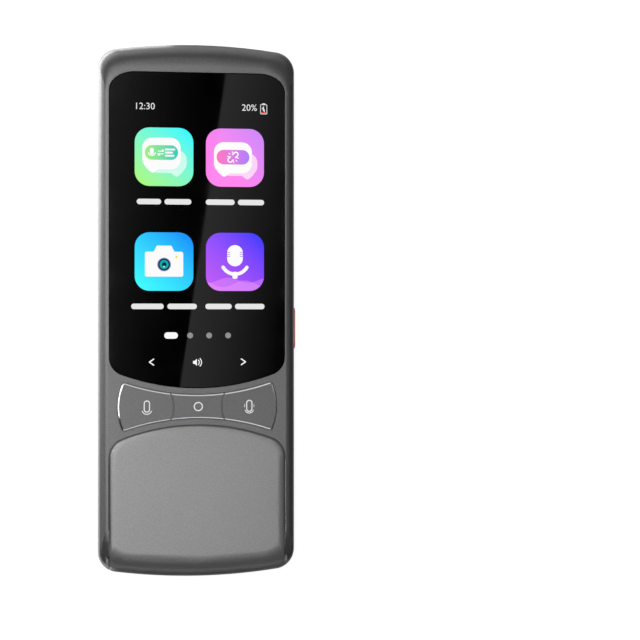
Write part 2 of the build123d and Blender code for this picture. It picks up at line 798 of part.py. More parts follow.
# ---- silicone pad with a boss and a dome pocket under each key, and the snap domes
with BuildPart() as key_pad:
    with BuildSketch(Plane.XY.offset(board_front)) as pad_plan:
        with Locations((0, key_middle)):
            Rectangle(2 * (key_icon_spacing + pad_end_margin), pad_width)
        chamfer(pad_plan.vertices(), pad_corner)
    extrude(amount=pad_thickness)
    pad_top = board_front + pad_thickness
    extrude(key_pattern(pad_top, pad_boss_radius), amount=pad_boss_top - pad_top)
    extrude(key_pattern(board_front, dome_radius + dome_play), amount=dome_height + dome_play,
            mode=Mode.SUBTRACT)
key_pad.part.label = "key_pad"
export_step(key_pad.part, "parts/key_pad.step")

with BuildPart() as key_domes:
    extrude(key_pattern(board_front, dome_radius), amount=dome_height, taper=45)
key_domes.part.label = "key_domes"
export_step(key_domes.part, "parts/key_domes.step")

# ---- side key: cap and a flange inside the wall, with its switch on the board
with BuildPart() as side_key:
    with BuildSketch(side_key_plane.offset(-press_reserve)) as side_cap:
        SlotOverall(side_key_length, side_key_height)
    extrude(amount=housing_wall + press_reserve + side_key_proud)
    chamfer(side_key.edges().group_by(Axis.X)[-1], side_key_edge)
    with BuildSketch(side_key_plane.offset(-press_reserve - side_key_flange_thickness)) as side_flange:
        SlotOverall(side_key_length + 2 * side_key_flange, side_key_height + 2 * side_key_flange)
    extrude(amount=side_key_flange_thickness)
side_key.part.label = "side_key"
export_step(side_key.part, "parts/side_key.step")

with BuildPart() as side_switch:
    switch_x = board_side - notch_depth
    plunger_x = wall_x - side_key_flange_thickness - side_key_travel - 2 * press_reserve
    with BuildSketch(Plane.XY.offset(board_level - switch_height)) as switch_body:
        with Locations((switch_x, side_key_middle)):
            Rectangle(switch_depth, switch_length, align=(Align.MAX, Align.CENTER))
    extrude(amount=switch_height)
    with BuildSketch(Plane.YZ.offset(switch_x)) as plunger:
        with Locations((side_key_middle, board_level - switch_height / 2)):
            Rectangle(plunger_length, plunger_height)
    extrude(amount=plunger_x - switch_x)
side_switch.part.label = "side_switch"
export_step(side_switch.part, "parts/side_switch.step")

# ---- lower cover: crowned shell with its own end wall and two rails
with BuildPart() as lower_cover:
    crown_start = body_thickness - crown_height
    crown_sections = []
    for crown_step in range(crown_steps + 1):
        crown_turn = math.radians(90 * crown_step / crown_steps)
        crown_sections.append(
            cover_face(
                crown_start + crown_height * math.sin(crown_turn),
                crown_width * (1 - math.cos(crown_turn)),
            )
        )
    extrude(cover_face(roll_start, 0), amount=crown_start - roll_start)
    loft(crown_sections, ruled=True)
    add(outer_form, mode=Mode.INTERSECT)
    add(cover_lining, mode=Mode.SUBTRACT)
    rail_end = -end_y + end_roll + rail_root
    with BuildSketch(Plane.XY.offset(cover_underside - rail_height)) as rails:
        with Locations((0, rail_start)):
            Rectangle(cover_width + 2 * rail_width, rail_start - rail_end,
                      align=(Align.CENTER, Align.MAX))
            Rectangle(cover_width - 2 * rail_root, rail_start - rail_end,
                      align=(Align.CENTER, Align.MAX), mode=Mode.SUBTRACT)
    extrude(amount=rail_height)
lower_cover.part.label = "lower_cover"
export_step(lower_cover.part, "parts/lower_cover.step")

# ---- card reader and card on the board, reached through the bay
with BuildPart() as card_reader:
    with BuildSketch(Plane.XY.offset(board_front)) as reader_outline:
        with Locations((card_x - (card_exposed + reader_wall) / 2, card_y)):
            Rectangle(card_length - card_exposed + reader_wall,
                      card_width + 2 * (moving_gap + reader_wall))
    extrude(amount=reader_wall + card_thickness + 2 * press_reserve + reader_roof)
    with BuildSketch(Plane.XY.offset(card_level)) as card_slot:
        with Locations((card_x - card_length / 2 - moving_gap, card_y)):
            Rectangle(card_length + card_travel, card_width + 2 * moving_gap,
                      align=(Align.MIN, Align.CENTER))
    extrude(amount=card_thickness + 2 * press_reserve, mode=Mode.SUBTRACT)
card_reader.part.label = "card_reader"
export_step(card_reader.part, "parts/card_reader.step")

with BuildPart() as sim_card:
    with BuildSketch(Plane.XY.offset(card_level + press_reserve)) as card_outline:
        with Locations((card_x, card_y)):
            Rectangle(card_length, card_width)
        chamfer(card_outline.vertices().group_by(Axis.X)[0].sort_by(Axis.Y)[-1], card_notch)
    extrude(amount=card_thickness)
sim_card.part.label = "sim_card"
export_step(sim_card.part, "parts/sim_card.step")

# ---- camera: dished disc, module with its barrel, and lens
with BuildPart() as camera_disc:
    with BuildSketch(Plane((0, camera_y, 0), x_dir=(1, 0, 0), z_dir=(0, -1, 0))) as disc_profile:
        disc_bore = camera_barrel_radius + part_gap
        disc_radius = camera_hole_radius - part_gap
        with BuildLine():
            Polyline(
                (disc_bore, camera_cone_level),
                (disc_radius, camera_disc_recess),
                (disc_radius, floor_thickness),
                (disc_radius + camera_flange, floor_thickness),
                (disc_radius + camera_flange, camera_module_level),
                (disc_bore, camera_module_level),
                close=True,
            )
        make_face()
    revolve(disc_profile.sketch, axis=camera_axis)
camera_disc.part.label = "camera_disc"
export_step(camera_disc.part, "parts/camera_disc.step")

with BuildPart() as camera_module:
    with BuildSketch(Plane.XY.offset(camera_module_level)) as module_body:
        with Locations((0, camera_y)):
            Rectangle(camera_body_width, camera_body_width)
        chamfer(module_body.vertices(), camera_body_corner)
    extrude(amount=board_level - camera_module_level)
    with BuildSketch(Plane.XY.offset(camera_barrel_level)) as barrel:
        with Locations((0, camera_y)):
            Circle(camera_barrel_radius)
    extrude(amount=camera_module_level - camera_barrel_level)
    with BuildSketch(Plane.XY.offset(camera_barrel_level)) as lens_seat:
        with Locations((0, camera_y)):
            Circle(camera_lens_radius)
    extrude(amount=camera_lens_recess + camera_lens_thickness, mode=Mode.SUBTRACT)
camera_module.part.label = "camera_module"
export_step(camera_module.part, "parts/camera_module.step")

with BuildPart() as camera_lens:
    with BuildSketch(Plane.XY.offset(camera_barrel_level + camera_lens_recess)) as lens_outline:
        with Locations((0, camera_y)):
            Circle(camera_lens_radius - seat_gap)
    extrude(amount=camera_lens_thickness)
    chamfer(camera_lens.edges().group_by(Axis.Z)[0], camera_lens_edge)
camera_lens.part.label = "camera_lens"
export_step(camera_lens.part, "parts/camera_lens.step")

# ---- loudspeaker behind the grille
with BuildPart() as speaker_mesh:
    with BuildSketch(Plane.XY.offset(floor_thickness)) as mesh_outline:
        with Locations((0, grille_y)):
            Rectangle(speaker_length, speaker_width)
    extrude(amount=mesh_thickness)
speaker_mesh.part.label = "speaker_mesh"
export_step(speaker_mesh.part, "parts/speaker_mesh.step")

with BuildPart() as speaker_gasket:
    with BuildSketch(Plane.XY.offset(floor_thickness + mesh_thickness)) as gasket_outline:
        with Locations((0, grille_y)):
            Rectangle(speaker_length, speaker_width)
            Rectangle(speaker_length - 2 * speaker_gasket_width,
                      speaker_width - 2 * speaker_gasket_width, mode=Mode.SUBTRACT)
    extrude(amount=speaker_gasket_thickness)
speaker_gasket.part.label = "speaker_gasket"
export_step(speaker_gasket.part, "parts/speaker_gasket.step")

with BuildPart() as loudspeaker:
    speaker_level = floor_thickness + mesh_thickness + speaker_gasket_thickness
    with BuildSketch(Plane.XY.offset(speaker_level)) as speaker_box:
        with Locations((0, grille_y)):
            Rectangle(speaker_length, speaker_width)
        chamfer(speaker_box.vertices(), speaker_corner)
    extrude(amount=speaker_thickness)
    with BuildSketch(Plane.XY.offset(speaker_level)) as diaphragm:
        with Locations((0, grille_y)):
            SlotOverall(speaker_length - 2 * speaker_rim, speaker_width - 2 * speaker_rim)
    extrude(amount=diaphragm_depth, mode=Mode.SUBTRACT)
loudspeaker.part.label = "loudspeaker"
export_step(loudspeaker.part, "parts/loudspeaker.step")

# ---- connector, microphones and their boots at the lower end
with BuildPart() as usb_receptacle:
    with BuildSketch(usb_plane) as usb_shell:
        SlotOverall(usb_width, usb_height)
    extrude(amount=usb_length)
    with BuildSketch(usb_plane) as usb_mouth:
        SlotOverall(usb_width - 2 * usb_wall, usb_height - 2 * usb_wall)
    extrude(amount=usb_length - usb_back, mode=Mode.SUBTRACT)
    with BuildSketch(usb_plane.offset(usb_tongue_recess)) as usb_tongue:
        Rectangle(usb_tongue_width, usb_tongue_thickness)
    extrude(amount=usb_length - usb_tongue_recess - usb_back / 2)
    with BuildSketch(Plane.XY.offset(board_level - usb_wall)) as usb_tabs:
        with Locations((0, -end_y + usb_recess + usb_length - usb_tab_length)):
            Rectangle(usb_width + 2 * usb_tab_reach, usb_tab_length)
            Rectangle(usb_width - usb_height / 2, usb_tab_length, mode=Mode.SUBTRACT)
    extrude(amount=usb_wall)
usb_receptacle.part.label = "usb_receptacle"
export_step(usb_receptacle.part, "parts/usb_receptacle.step")

# the end wall bows in towards the corners, so the boots seat where their outer edges meet it
boot_outer_x = (mic_spacing + mic_boot_width) / 2
boot_y = -end_y + housing_wall + boot_outer_x**2 / (2 * end_bow_radius) + seat_gap
boot_level = mic_level - mic_boot_drop
with BuildPart() as microphone_boots:
    with BuildSketch(Plane.XY.offset(boot_level)) as boot_outline:
        with Locations((0, boot_y + mic_boot_length / 2)):
            with GridLocations(mic_spacing, 1, 2, 1):
                Rectangle(mic_boot_width, mic_boot_length)
    extrude(amount=board_level - boot_level)
    with BuildSketch(end_plane) as boot_holes:
        with Locations((0, mic_level)):
            with GridLocations(mic_spacing, 1, 2, 1):
                RegularPolygon(mic_hole_radius, hidden_round_sides)
    extrude(amount=body_thickness, mode=Mode.SUBTRACT)
microphone_boots.part.label = "microphone_boots"
export_step(microphone_boots.part, "parts/microphone_boots.step")

with BuildPart() as microphones:
    with BuildSketch(Plane.XY.offset(board_level - mic_height)) as mic_cases:
        with Locations((0, boot_y + mic_boot_length + mic_length / 2)):
            with GridLocations(mic_spacing, 1, 2, 1):
                Rectangle(mic_width, mic_length)
    extrude(amount=mic_height)
microphones.part.label = "microphones"
export_step(microphones.part, "parts/microphones.step")

# ---- vibration motor on the rear cover and antenna film inside the top end
with BuildPart() as vibration_motor:
    with BuildSketch(Plane.XY.offset(floor_thickness)) as motor_can:
        with Locations((motor_x, motor_y)):
            Circle(motor_radius)
    extrude(amount=motor_height)
vibration_motor.part.label = "vibration_motor"
export_step(vibration_motor.part, "parts/vibration_motor.step")

with BuildPart() as antenna_film:
    with BuildSketch(Plane.XY.offset(rear_height + tongue_height + antenna_gap)) as antenna_outline:
        add(inset_plan(0, housing_wall + seat_gap))
        add(inset_plan(0, housing_wall + seat_gap + antenna_thickness), mode=Mode.SUBTRACT)
        with Locations((0, end_y)):
            Rectangle(antenna_width, 2 * antenna_depth, mode=Mode.INTERSECT)
    extrude(amount=antenna_height)
antenna_film.part.label = "antenna_film"
export_step(antenna_film.part, "parts/antenna_film.step")
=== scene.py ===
"""Looks of a handheld translator: its finishes, the lit screen picture, the key prints and the rear camera.

The device lies on its back: the screen looks along +Z, its top end points along +Y. Metres throughout, but
flat shapes are drawn in millimetres and degrees from a middle of their own.
"""

import json
import math

import bpy
from bpy.props import FloatProperty, FloatVectorProperty, PointerProperty
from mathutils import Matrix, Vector


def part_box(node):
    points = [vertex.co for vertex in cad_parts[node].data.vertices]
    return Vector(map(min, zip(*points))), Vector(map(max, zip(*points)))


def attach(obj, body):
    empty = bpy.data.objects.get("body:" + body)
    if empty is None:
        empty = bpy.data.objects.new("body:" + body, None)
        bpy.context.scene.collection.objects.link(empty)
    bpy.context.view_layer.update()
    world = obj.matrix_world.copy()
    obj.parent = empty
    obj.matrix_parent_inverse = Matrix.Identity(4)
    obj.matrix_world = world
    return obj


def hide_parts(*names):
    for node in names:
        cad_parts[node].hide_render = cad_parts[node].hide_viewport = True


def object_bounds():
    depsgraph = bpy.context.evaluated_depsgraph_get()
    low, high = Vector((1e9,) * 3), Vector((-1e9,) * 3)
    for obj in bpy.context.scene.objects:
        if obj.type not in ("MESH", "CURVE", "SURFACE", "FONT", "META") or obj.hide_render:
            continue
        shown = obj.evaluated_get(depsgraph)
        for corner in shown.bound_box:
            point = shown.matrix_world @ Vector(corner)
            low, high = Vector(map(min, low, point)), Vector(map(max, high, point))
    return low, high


bl_info = {
    "name": "Handheld Translator",
    "version": (1, 0, 0),
    "blender": (4, 5, 0),
    "location": "3D View > Sidebar > Translator",
    "description": "Finishes a handheld translator round its packed parts",
    "category": "Object",
}

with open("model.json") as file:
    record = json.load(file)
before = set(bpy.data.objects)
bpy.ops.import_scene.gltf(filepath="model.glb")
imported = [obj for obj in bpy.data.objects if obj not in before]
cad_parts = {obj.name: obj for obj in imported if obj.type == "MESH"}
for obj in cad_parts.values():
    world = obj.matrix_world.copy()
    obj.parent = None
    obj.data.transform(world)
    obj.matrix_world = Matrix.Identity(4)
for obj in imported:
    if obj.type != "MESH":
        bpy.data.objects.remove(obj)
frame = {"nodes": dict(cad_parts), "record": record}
CAD_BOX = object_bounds()

MM = 0.001
SLOT_OF_NODE = {part["node"]: part["material_slot"] for part in frame["record"]["subparts"]}

# levels and middles that the pieces stand on
SCREEN_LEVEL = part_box("cover_glass")[1].z
KEY_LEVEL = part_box("key_centre")[1].z
KEY_MIDDLE = sum(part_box("key_centre"), Vector()) / 2
DISH_LOW, DISH_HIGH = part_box("camera_disc")
CAMERA_MIDDLE = (DISH_LOW + DISH_HIGH) / 2
BARREL_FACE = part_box("camera_module")[0].z
LENS_LOW, LENS_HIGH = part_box("camera_lens")

PAINT_IOR = 1.25              # refraction of the varnish in the body's paint
PAINT_GLANCE = (0.45, 0.45, 0.45, 1.0)    # what its flakes mirror at a glancing angle
GLASS_IOR = 1.5               # refraction of glass and of hard clear coats
PLASTIC_IOR = 1.45            # refraction of plastics, films and other finishes
GRAIN_DEPTH = 0.02 * MM       # of the fine grain that most finishes have
GRAIN_BAND = (0.3, 0.7)       # between these a noise has most of its values
LAYER = 0.012 * MM            # one lit layer of the screen picture stands this far above the one below
CAMERA_HEIGHT = 0.4372        # of the camera over the screen
CAMERA_PLACE = (-0.0248, -0.00265)        # of the camera, left of the device's middle
CAMERA_TURN = -0.133          # of the camera about the device's long axis, in radians
ROOM_LIGHT = 0.035            # of the dim room, seen from the device
FLOOR_GLOW = 0.85             # that the floor adds to its lit grey, for white
CLEAN_EDGE = 1e-6             # vertices nearer than this are the same corner
ROUND_SEGMENTS = 8            # of each rounded corner in the screen picture
ARC_STEPS = 14                # of each band along an arc


# ---------------------------------------------------------------- settings


def length(name, default, description):
    """A length that a user may change; its default is given in millimetres."""
    return FloatProperty(name=name, description=description, default=default * MM, unit="LENGTH")


def paint(name, default, description):
    """A colour that a user may change, as linear light."""
    return FloatVectorProperty(
        name=name, description=description, default=default, subtype="COLOR", size=3, min=0, max=1)


class ScreenSettings(bpy.types.PropertyGroup):
    """Sizes of the picture on the screen."""

    middle_x: length("Middle X", 0.55, "Middle of the tile columns")
    middle_y: length("Middle Y", 27.5, "Middle of the tile rows")
    column_step: length("Column step", 19.33, "From one tile column to the next")
    row_step: length("Row step", 28.5, "From one tile row to the next")
    tile_side: length("Tile side", 15.9, "Width and height of a tile")
    tile_corner: length("Tile corner", 4.0, "Corner radius of a tile")
    label_drop: length("Label drop", 12.2, "From a tile's middle down to its label")
    label_height: length("Label height", 1.5, "Height of a label bar")
    status_y: length("Status row", 55.4, "Height of the status row up the screen")
    digit_height: length("Digit height", 2.55, "Text size of the status digits")
    dots_y: length("Page dots", -6.87, "Place of the page dots up the screen")
    dot_step: length("Dot step", 5.18, "From one page dot to the next")
    touch_y: length("Touch row", -14.1, "Place of the touch symbols")
    touch_step: length("Touch step", 12.5, "From one touch symbol to the next")


class KeySettings(bpy.types.PropertyGroup):
    """Sizes of the prints on the keys and of the webs between them."""

    print_step: length("Print step", 13.95, "From one key print to the next")
    print_shift: length("Print shift", 0.17, "From the keys' middle line to the centre print")
    web_x: length("Web place", 6.5, "From the middle line to the webs at their waist")
    web_radius: length("Web radius", 8.1, "Radius of the curved webs")
    stroke: length("Stroke", 0.3, "Line width of the prints")
    ring_radius: length("Ring radius", 1.26, "Outer radius of the centre ring")
    capsule_width: length("Capsule width", 1.74, "Width of the microphone head")
    capsule_height: length("Capsule height", 3.3, "Height of the microphone head")


class FinishSettings(bpy.types.PropertyGroup):
    """Colours of the finishes."""

    shell: paint("Shell", (0.17, 0.17, 0.172), "Metallic paint of the body")
    cover: paint("Lower cover", (0.285, 0.284, 0.284), "Metallic paint of the lower cover")
    keys: paint("Keys", (0.155, 0.155, 0.157), "Metallic paint of the keys")
    side_key: paint("Side key", (0.85, 0.26, 0.20), "Anodised side key")
    prints: paint("Prints", (0.88, 0.88, 0.88), "Prints on the keys")


# ---------------------------------------------------------------- shader tools


class Link:
    """An output socket for Python expressions: each operator adds one Math node to its tree."""

    def __init__(self, recipe, socket):
        self.recipe = recipe
        self.socket = socket

    def math(self, operation, *others):
        """One Math node, with this link as its first value."""
        return self.recipe.node("ShaderNodeMath", {"operation": operation}, dict(enumerate((self, *others))))

    def wave(self, length, start=0.0):
        """A sine along a distance, from the length of its wave."""
        return (self * (2 * math.pi / length) + start).math("SINE")

    def __add__(self, other):
        return self.math("ADD", other)

    def __sub__(self, other):
        return self.math("SUBTRACT", other)

    def __rsub__(self, other):
        return self.recipe.node("ShaderNodeMath", {"operation": "SUBTRACT"}, {0: other, 1: self})

    def __mul__(self, other):
        return self.math("MULTIPLY", other)

    def __pow__(self, other):
        return self.math("POWER", other)

    def __or__(self, other):
        return self.math("MAXIMUM", other)

    def __gt__(self, other):
        return self.math("GREATER_THAN", other)

    def __lt__(self, other):
        return self.math("LESS_THAN", other)

    __radd__ = __add__
    __rmul__ = __mul__


class Recipe:
    """The node tree of a material, or of the world."""

    def __init__(self, owner, output="ShaderNodeOutputMaterial"):
        owner.use_nodes = True
        self.tree = owner.node_tree
        self.tree.nodes.clear()
        self.output = self.tree.nodes.new(output)

    def show(self, shader):
        """Makes a shader the one that is seen."""
        self.tree.links.new(shader.socket, self.output.inputs["Surface"])

    def node(self, kind, settings=None, sockets=None, output=0):
        """Adds a node, makes its settings, then sets or links its sockets, and gives one of its outputs."""
        node = self.tree.nodes.new(kind)
        for name, value in (settings or {}).items():
            if name == "stops":
                shape_ramp(node.color_ramp, value)
            else:
                setattr(node, name, value)
        for socket, value in (sockets or {}).items():
            if isinstance(value, Link):
                self.tree.links.new(value.socket, node.inputs[socket])
            else:
                node.inputs[socket].default_value = value
        return Link(self, node.outputs[output])

    def place(self, output="Object"):
        """The place of a point, or its normal."""
        return self.node("ShaderNodeTexCoord", output=output)

    def rays(self, *kinds):
        """Is 1 for the rays of these kinds."""
        ray, *others = [self.node("ShaderNodeLightPath", output="Is " + kind + " Ray") for kind in kinds]
        for other in others:
            ray = ray | other
        return ray

    def axis(self, name, output="Object"):
        """One coordinate of the place, or of the normal."""
        return self.node("ShaderNodeSeparateXYZ", {}, {0: self.place(output)}, "XYZ".index(name))

    def vector(self, operation, *values):
        """One Vector Math node."""
        return self.node("ShaderNodeVectorMath", {"operation": operation}, dict(enumerate(values)))

    def noise(self, scale, detail=2.0, roughness=0.5):
        """Noise with features of about one scale, in lumps per metre."""
        return self.node("ShaderNodeTexNoise", {}, {
            "Vector": self.place(), "Scale": scale, "Detail": detail, "Roughness": roughness})

    def spread(self, link, low, high, to_low=0.0, to_high=1.0):
        """Maps a range of values onto another, held at its ends."""
        return self.node("ShaderNodeMapRange", {"clamp": True}, {
            "Value": link, "From Min": low, "From Max": high, "To Min": to_low, "To Max": to_high})

    def grained(self, noise, to_low, to_high):
        """Maps a noise onto a range."""
        return self.spread(noise, *GRAIN_BAND, to_low, to_high)

    def mix(self, factor, first, second):
        """Blends two colours."""
        return self.node(
            "ShaderNodeMix", {"data_type": "RGBA"}, {0: factor, 6: colour(first), 7: colour(second)}, 2)

    def scaled(self, tint, link):
        """A colour made lighter or darker by a value."""
        return self.node("ShaderNodeMix", {"data_type": "RGBA", "blend_type": "MULTIPLY"}, {
            0: 1.0, 6: colour(tint), 7: link}, 2)

    def bump(self, height, strength, depth, normal=None):
        """A normal bent by a height, on top of another normal if one is given."""
        sockets = {"Height": height, "Strength": strength, "Distance": depth}
        if normal is not None:
            sockets["Normal"] = normal
        return self.node("ShaderNodeBump", {}, sockets)

    def eased_edges(self, radius):
        """Normals that round off the edges of a piece by a small radius."""
        return self.node("ShaderNodeBevel", {"samples": 6}, {"Radius": radius})


class Finish(Recipe):
    """A material round a Principled shader, whose constants stand on its own sockets."""

    def __init__(self, name, constants):
        self.name = name
        self.material = bpy.data.materials.new(name)
        super().__init__(self.material)
        self.shader = self.tree.nodes.new("ShaderNodeBsdfPrincipled")
        self.surface = Link(self, self.shader.outputs[0])
        self.show(self.surface)
        for socket, value in constants.items():
            self.shader.inputs[socket].default_value = value

    def feed(self, links):
        """Feeds those of the shader's sockets that may vary over the surface."""
        for socket, link in links.items():
            self.tree.links.new(link.socket, self.shader.inputs[socket])

    def fed(self, socket):
        """What feeds one of the shader's sockets."""
        return Link(self, self.shader.inputs[socket].links[0].from_socket)


def colour(value):
    """A colour for a socket: links pass, three numbers get their fourth."""
    return value if isinstance(value, Link) else (*value, 1.0)


def shape_ramp(ramp, stops):
    """Gives a colour ramp its stops, each a place and a colour."""
    while len(ramp.elements) > 1:
        ramp.elements.remove(ramp.elements[-1])
    for number, (place, tint) in enumerate(stops):
        element = ramp.elements[0] if number == 0 else ramp.elements.new(place)
        element.position = place
        element.color = colour(tint)


# ---------------------------------------------------------------- finishes


def metallic_paint(name, tint):
    """Satin paint with fine metal flakes: sparkle in its colour, its gloss and a faint orange peel."""
    recipe = Finish(name, {"IOR": PAINT_IOR, "Specular Tint": PAINT_GLANCE})
    flakes = recipe.noise(2600.0, 2.0, 0.6)
    fine = recipe.noise(9000.0, 1.0)
    clouds = recipe.noise(60.0, 2.0)
    sparkle = recipe.grained(flakes, -0.10, 0.11) + recipe.grained(fine, -0.07, 0.07)
    recipe.feed({
        "Base Color": recipe.scaled(tint, 1.0 + sparkle + recipe.grained(clouds, -0.02, 0.02)),
        "Metallic": recipe.grained(flakes, 0.7, 0.9),
        "Roughness": recipe.grained(flakes, 0.44, 0.34),
        "Normal": recipe.bump(flakes + fine * 0.5, 0.2, GRAIN_DEPTH, recipe.eased_edges(0.07 * MM)),
    })
    return recipe


def key_metal(tint):
    """Key paint with a polished cut edge round the outer border of the band."""
    recipe = metallic_paint("key_metal", tint)
    upward = recipe.axis("Z", "Normal")
    sloped = recipe.spread(upward, 0.90, 0.96, 1.0, 0.0) * recipe.spread(upward, 0.35, 0.45)
    cut = sloped * recipe.spread(recipe.axis("Z"), KEY_LEVEL - 0.34 * MM, KEY_LEVEL - 0.30 * MM)
    leaned = recipe.vector("ADD", recipe.node("ShaderNodeNewGeometry", output="Normal"), (0.0, 0.0, 0.17))
    recipe.feed({
        "Base Color": recipe.mix(cut, recipe.fed("Base Color"), (0.92, 0.92, 0.93)),
        "Metallic": recipe.fed("Metallic") * (1.0 - cut) + cut,
        "Roughness": recipe.fed("Roughness") * (1.0 - cut) + cut * 0.12,
        "Normal": recipe.node("ShaderNodeMix", {"data_type": "VECTOR"}, {
            0: cut, 4: recipe.fed("Normal"), 5: recipe.vector("NORMALIZE", leaned)}, 1),
    })
    return recipe


def orange_key(tint):
    """Anodised side key, satin with a fine blasted grain."""
    recipe = Finish("orange_key", {"IOR": PLASTIC_IOR})
    grain = recipe.noise(7000.0, 1.0)
    recipe.feed({
        "Base Color": recipe.scaled(tint, recipe.grained(grain, 0.9, 1.1)),
        "Metallic": recipe.grained(grain, 0.2, 0.35),
        "Roughness": recipe.grained(grain, 0.42, 0.32),
        "Normal": recipe.bump(grain, 0.2, GRAIN_DEPTH, recipe.eased_edges(0.15 * MM)),
    })
    return recipe


def black_glass():
    """Polished cover glass, blacked from behind, with a trace of dust in its gloss and dull sides."""
    recipe = Finish("black_glass", {"IOR": GLASS_IOR})
    smear = recipe.noise(90.0, 3.0)
    recipe.feed({
        "Base Color": recipe.mix(
            recipe.grained(smear, 0.0, 1.0), (0.0006, 0.0006, 0.0007), (0.0012, 0.0012, 0.0014)),
        "Roughness": recipe.spread(smear, 0.35, 0.75, 0.015, 0.05),
    })
    side = recipe.spread(recipe.axis("Z", "Normal"), 0.9995, 0.998)
    dull = recipe.node("ShaderNodeBsdfDiffuse", {}, {"Color": (0.003, 0.003, 0.003, 1.0)})
    recipe.show(recipe.node("ShaderNodeMixShader", {}, {0: side, 1: recipe.surface, 2: dull}))
    return recipe


def plain(name, tint, low_gloss, high_gloss, metal=0.0, grain=3000.0, depth=GRAIN_DEPTH, variation=0.12):
    """A grained finish: colour, gloss and bump vary with one noise."""
    recipe = Finish(name, {"IOR": PLASTIC_IOR, "Metallic": metal})
    noise = recipe.noise(grain, 3.0)
    recipe.feed({
        "Base Color": recipe.scaled(tint, recipe.grained(noise, 1.0 - variation, 1.0 + variation)),
        "Roughness": recipe.grained(noise, high_gloss, low_gloss),
        "Normal": recipe.bump(noise, 0.25, depth, recipe.eased_edges(0.05 * MM)),
    })
    return recipe.material


def board_green():
    """Solder mask over copper tracks that show as slightly lighter lines."""
    recipe = Finish("board_green", {"IOR": GLASS_IOR})
    tracks = recipe.node("ShaderNodeTexBrick", {"offset": 0.37, "squash": 0.6, "squash_frequency": 3}, {
        "Vector": recipe.place(), "Scale": 380.0, "Mortar Size": 0.06, "Brick Width": 1.3, "Row Height": 0.35,
        "Color1": (0.010, 0.085, 0.035, 1), "Color2": (0.014, 0.10, 0.04, 1),
        "Mortar": (0.03, 0.17, 0.07, 1)})
    recipe.feed({"Base Color": tracks, "Roughness": recipe.grained(recipe.noise(2500.0), 0.28, 0.42)})
    return recipe


def dark_mesh():
    """Woven acoustic mesh: two crossed sets of black threads."""
    recipe = Finish("dark_mesh", {"IOR": PLASTIC_IOR})
    thread_step = 0.16 * MM
    weave = recipe.spread(recipe.axis("X").wave(thread_step) * recipe.axis("Y").wave(thread_step), -1.0, 1.0)
    recipe.feed({
        "Base Color": recipe.mix(weave, (0.002, 0.002, 0.002), (0.012, 0.012, 0.012)),
        "Roughness": recipe.spread(weave, 0.0, 1.0, 0.9, 0.6),
        "Normal": recipe.bump(weave, 0.5, 0.05 * MM),
    })
    return recipe


def round_camera(recipe):
    """How far a point is across, along and out from the camera's middle."""
    across = recipe.axis("X") - CAMERA_MIDDLE.x
    along = recipe.axis("Y") - CAMERA_MIDDLE.y
    return across, along, (across * across + along * along).math("SQRT")


def camera_dish():
    """Spun dark blue-black cone: rings of turning marks, and two opposite bright wedges that are a painted
    highlight of the spun metal.
    """
    recipe = Finish("camera_dish", {"IOR": GLASS_IOR, "Metallic": 1.0})
    across, along, radius = round_camera(recipe)
    rings = radius.wave(0.11 * MM)
    turn = along.math("ARCTAN2", across)
    # two opposite wedges get a bright blue colour: a painted highlight where the spun rings would catch the
    # light
    painted_sheen_sectors = ((turn - math.radians(112.0)).math("COSINE").math("ABSOLUTE")) ** 14.0
    painted_sheen_colour = recipe.mix(painted_sheen_sectors, (0.012, 0.014, 0.026), (0.36, 0.40, 0.62))
    recipe.feed({
        "Base Color": recipe.scaled(painted_sheen_colour, recipe.spread(rings, -1.0, 1.0, 0.86, 1.1)),
        "Roughness": recipe.spread(rings, -1.0, 1.0, 0.22, 0.34),
        "Normal": recipe.bump(rings, 0.12, 0.01 * MM),
    })
    return recipe


def lens_glass():
    """Coated lens: violet at its rim, blue in the middle."""
    recipe = Finish("lens_glass", {"IOR": 1.6, "Coat IOR": 1.9, "Coat Roughness": 0.02})
    lens_rim = 1.0 * MM
    radius = round_camera(recipe)[2] * (1.0 / lens_rim)
    recipe.feed({
        "Base Color": recipe.node("ShaderNodeValToRGB", {"stops": (
            (0.0, (0.01, 0.01, 0.05)), (0.35, (0.04, 0.05, 0.30)), (0.6, (0.16, 0.12, 0.55)),
            (0.85, (0.05, 0.03, 0.16)), (1.0, (0.01, 0.01, 0.02)))}, {"Fac": radius}),
        "Coat Weight": recipe.spread(radius, 0.0, 1.0, 1.0, 0.6),
        "Roughness": recipe.spread(radius, 0.0, 1.0, 0.03, 0.1),
    })
    return recipe


# colour, lowest and highest roughness of each plain finish, and what else sets it apart
PLAIN_FINISHES = {
    "black_adhesive": ((0.006, 0.006, 0.006), 0.6, 0.8, {}),
    "sensor_film": ((0.02, 0.02, 0.024), 0.1, 0.2, {}),
    "display_stack": ((0.012, 0.012, 0.015), 0.15, 0.3, {}),
    "pressed_steel": ((0.42, 0.42, 0.43), 0.3, 0.5, {"metal": 1.0}),
    "flex_film": ((0.34, 0.12, 0.025), 0.25, 0.4, {}),
    "tinned_steel": ((0.58, 0.58, 0.57), 0.28, 0.45, {"metal": 1.0}),
    "screw_steel": ((0.25, 0.25, 0.26), 0.3, 0.45, {"metal": 1.0}),
    "battery_foil": ((0.5, 0.5, 0.52), 0.35, 0.5, {"metal": 0.9, "grain": 900.0}),
    "white_foam": ((0.68, 0.68, 0.66), 0.8, 0.95, {"depth": 0.06 * MM}),
    "black_moulding": ((0.014, 0.014, 0.014), 0.5, 0.65, {}),
    "silicone": ((0.09, 0.09, 0.09), 0.55, 0.7, {}),
    "card_white": ((0.74, 0.74, 0.74), 0.35, 0.5, {"variation": 0.03}),
    "connector_steel": ((0.55, 0.55, 0.55), 0.2, 0.35, {"metal": 1.0}),
}


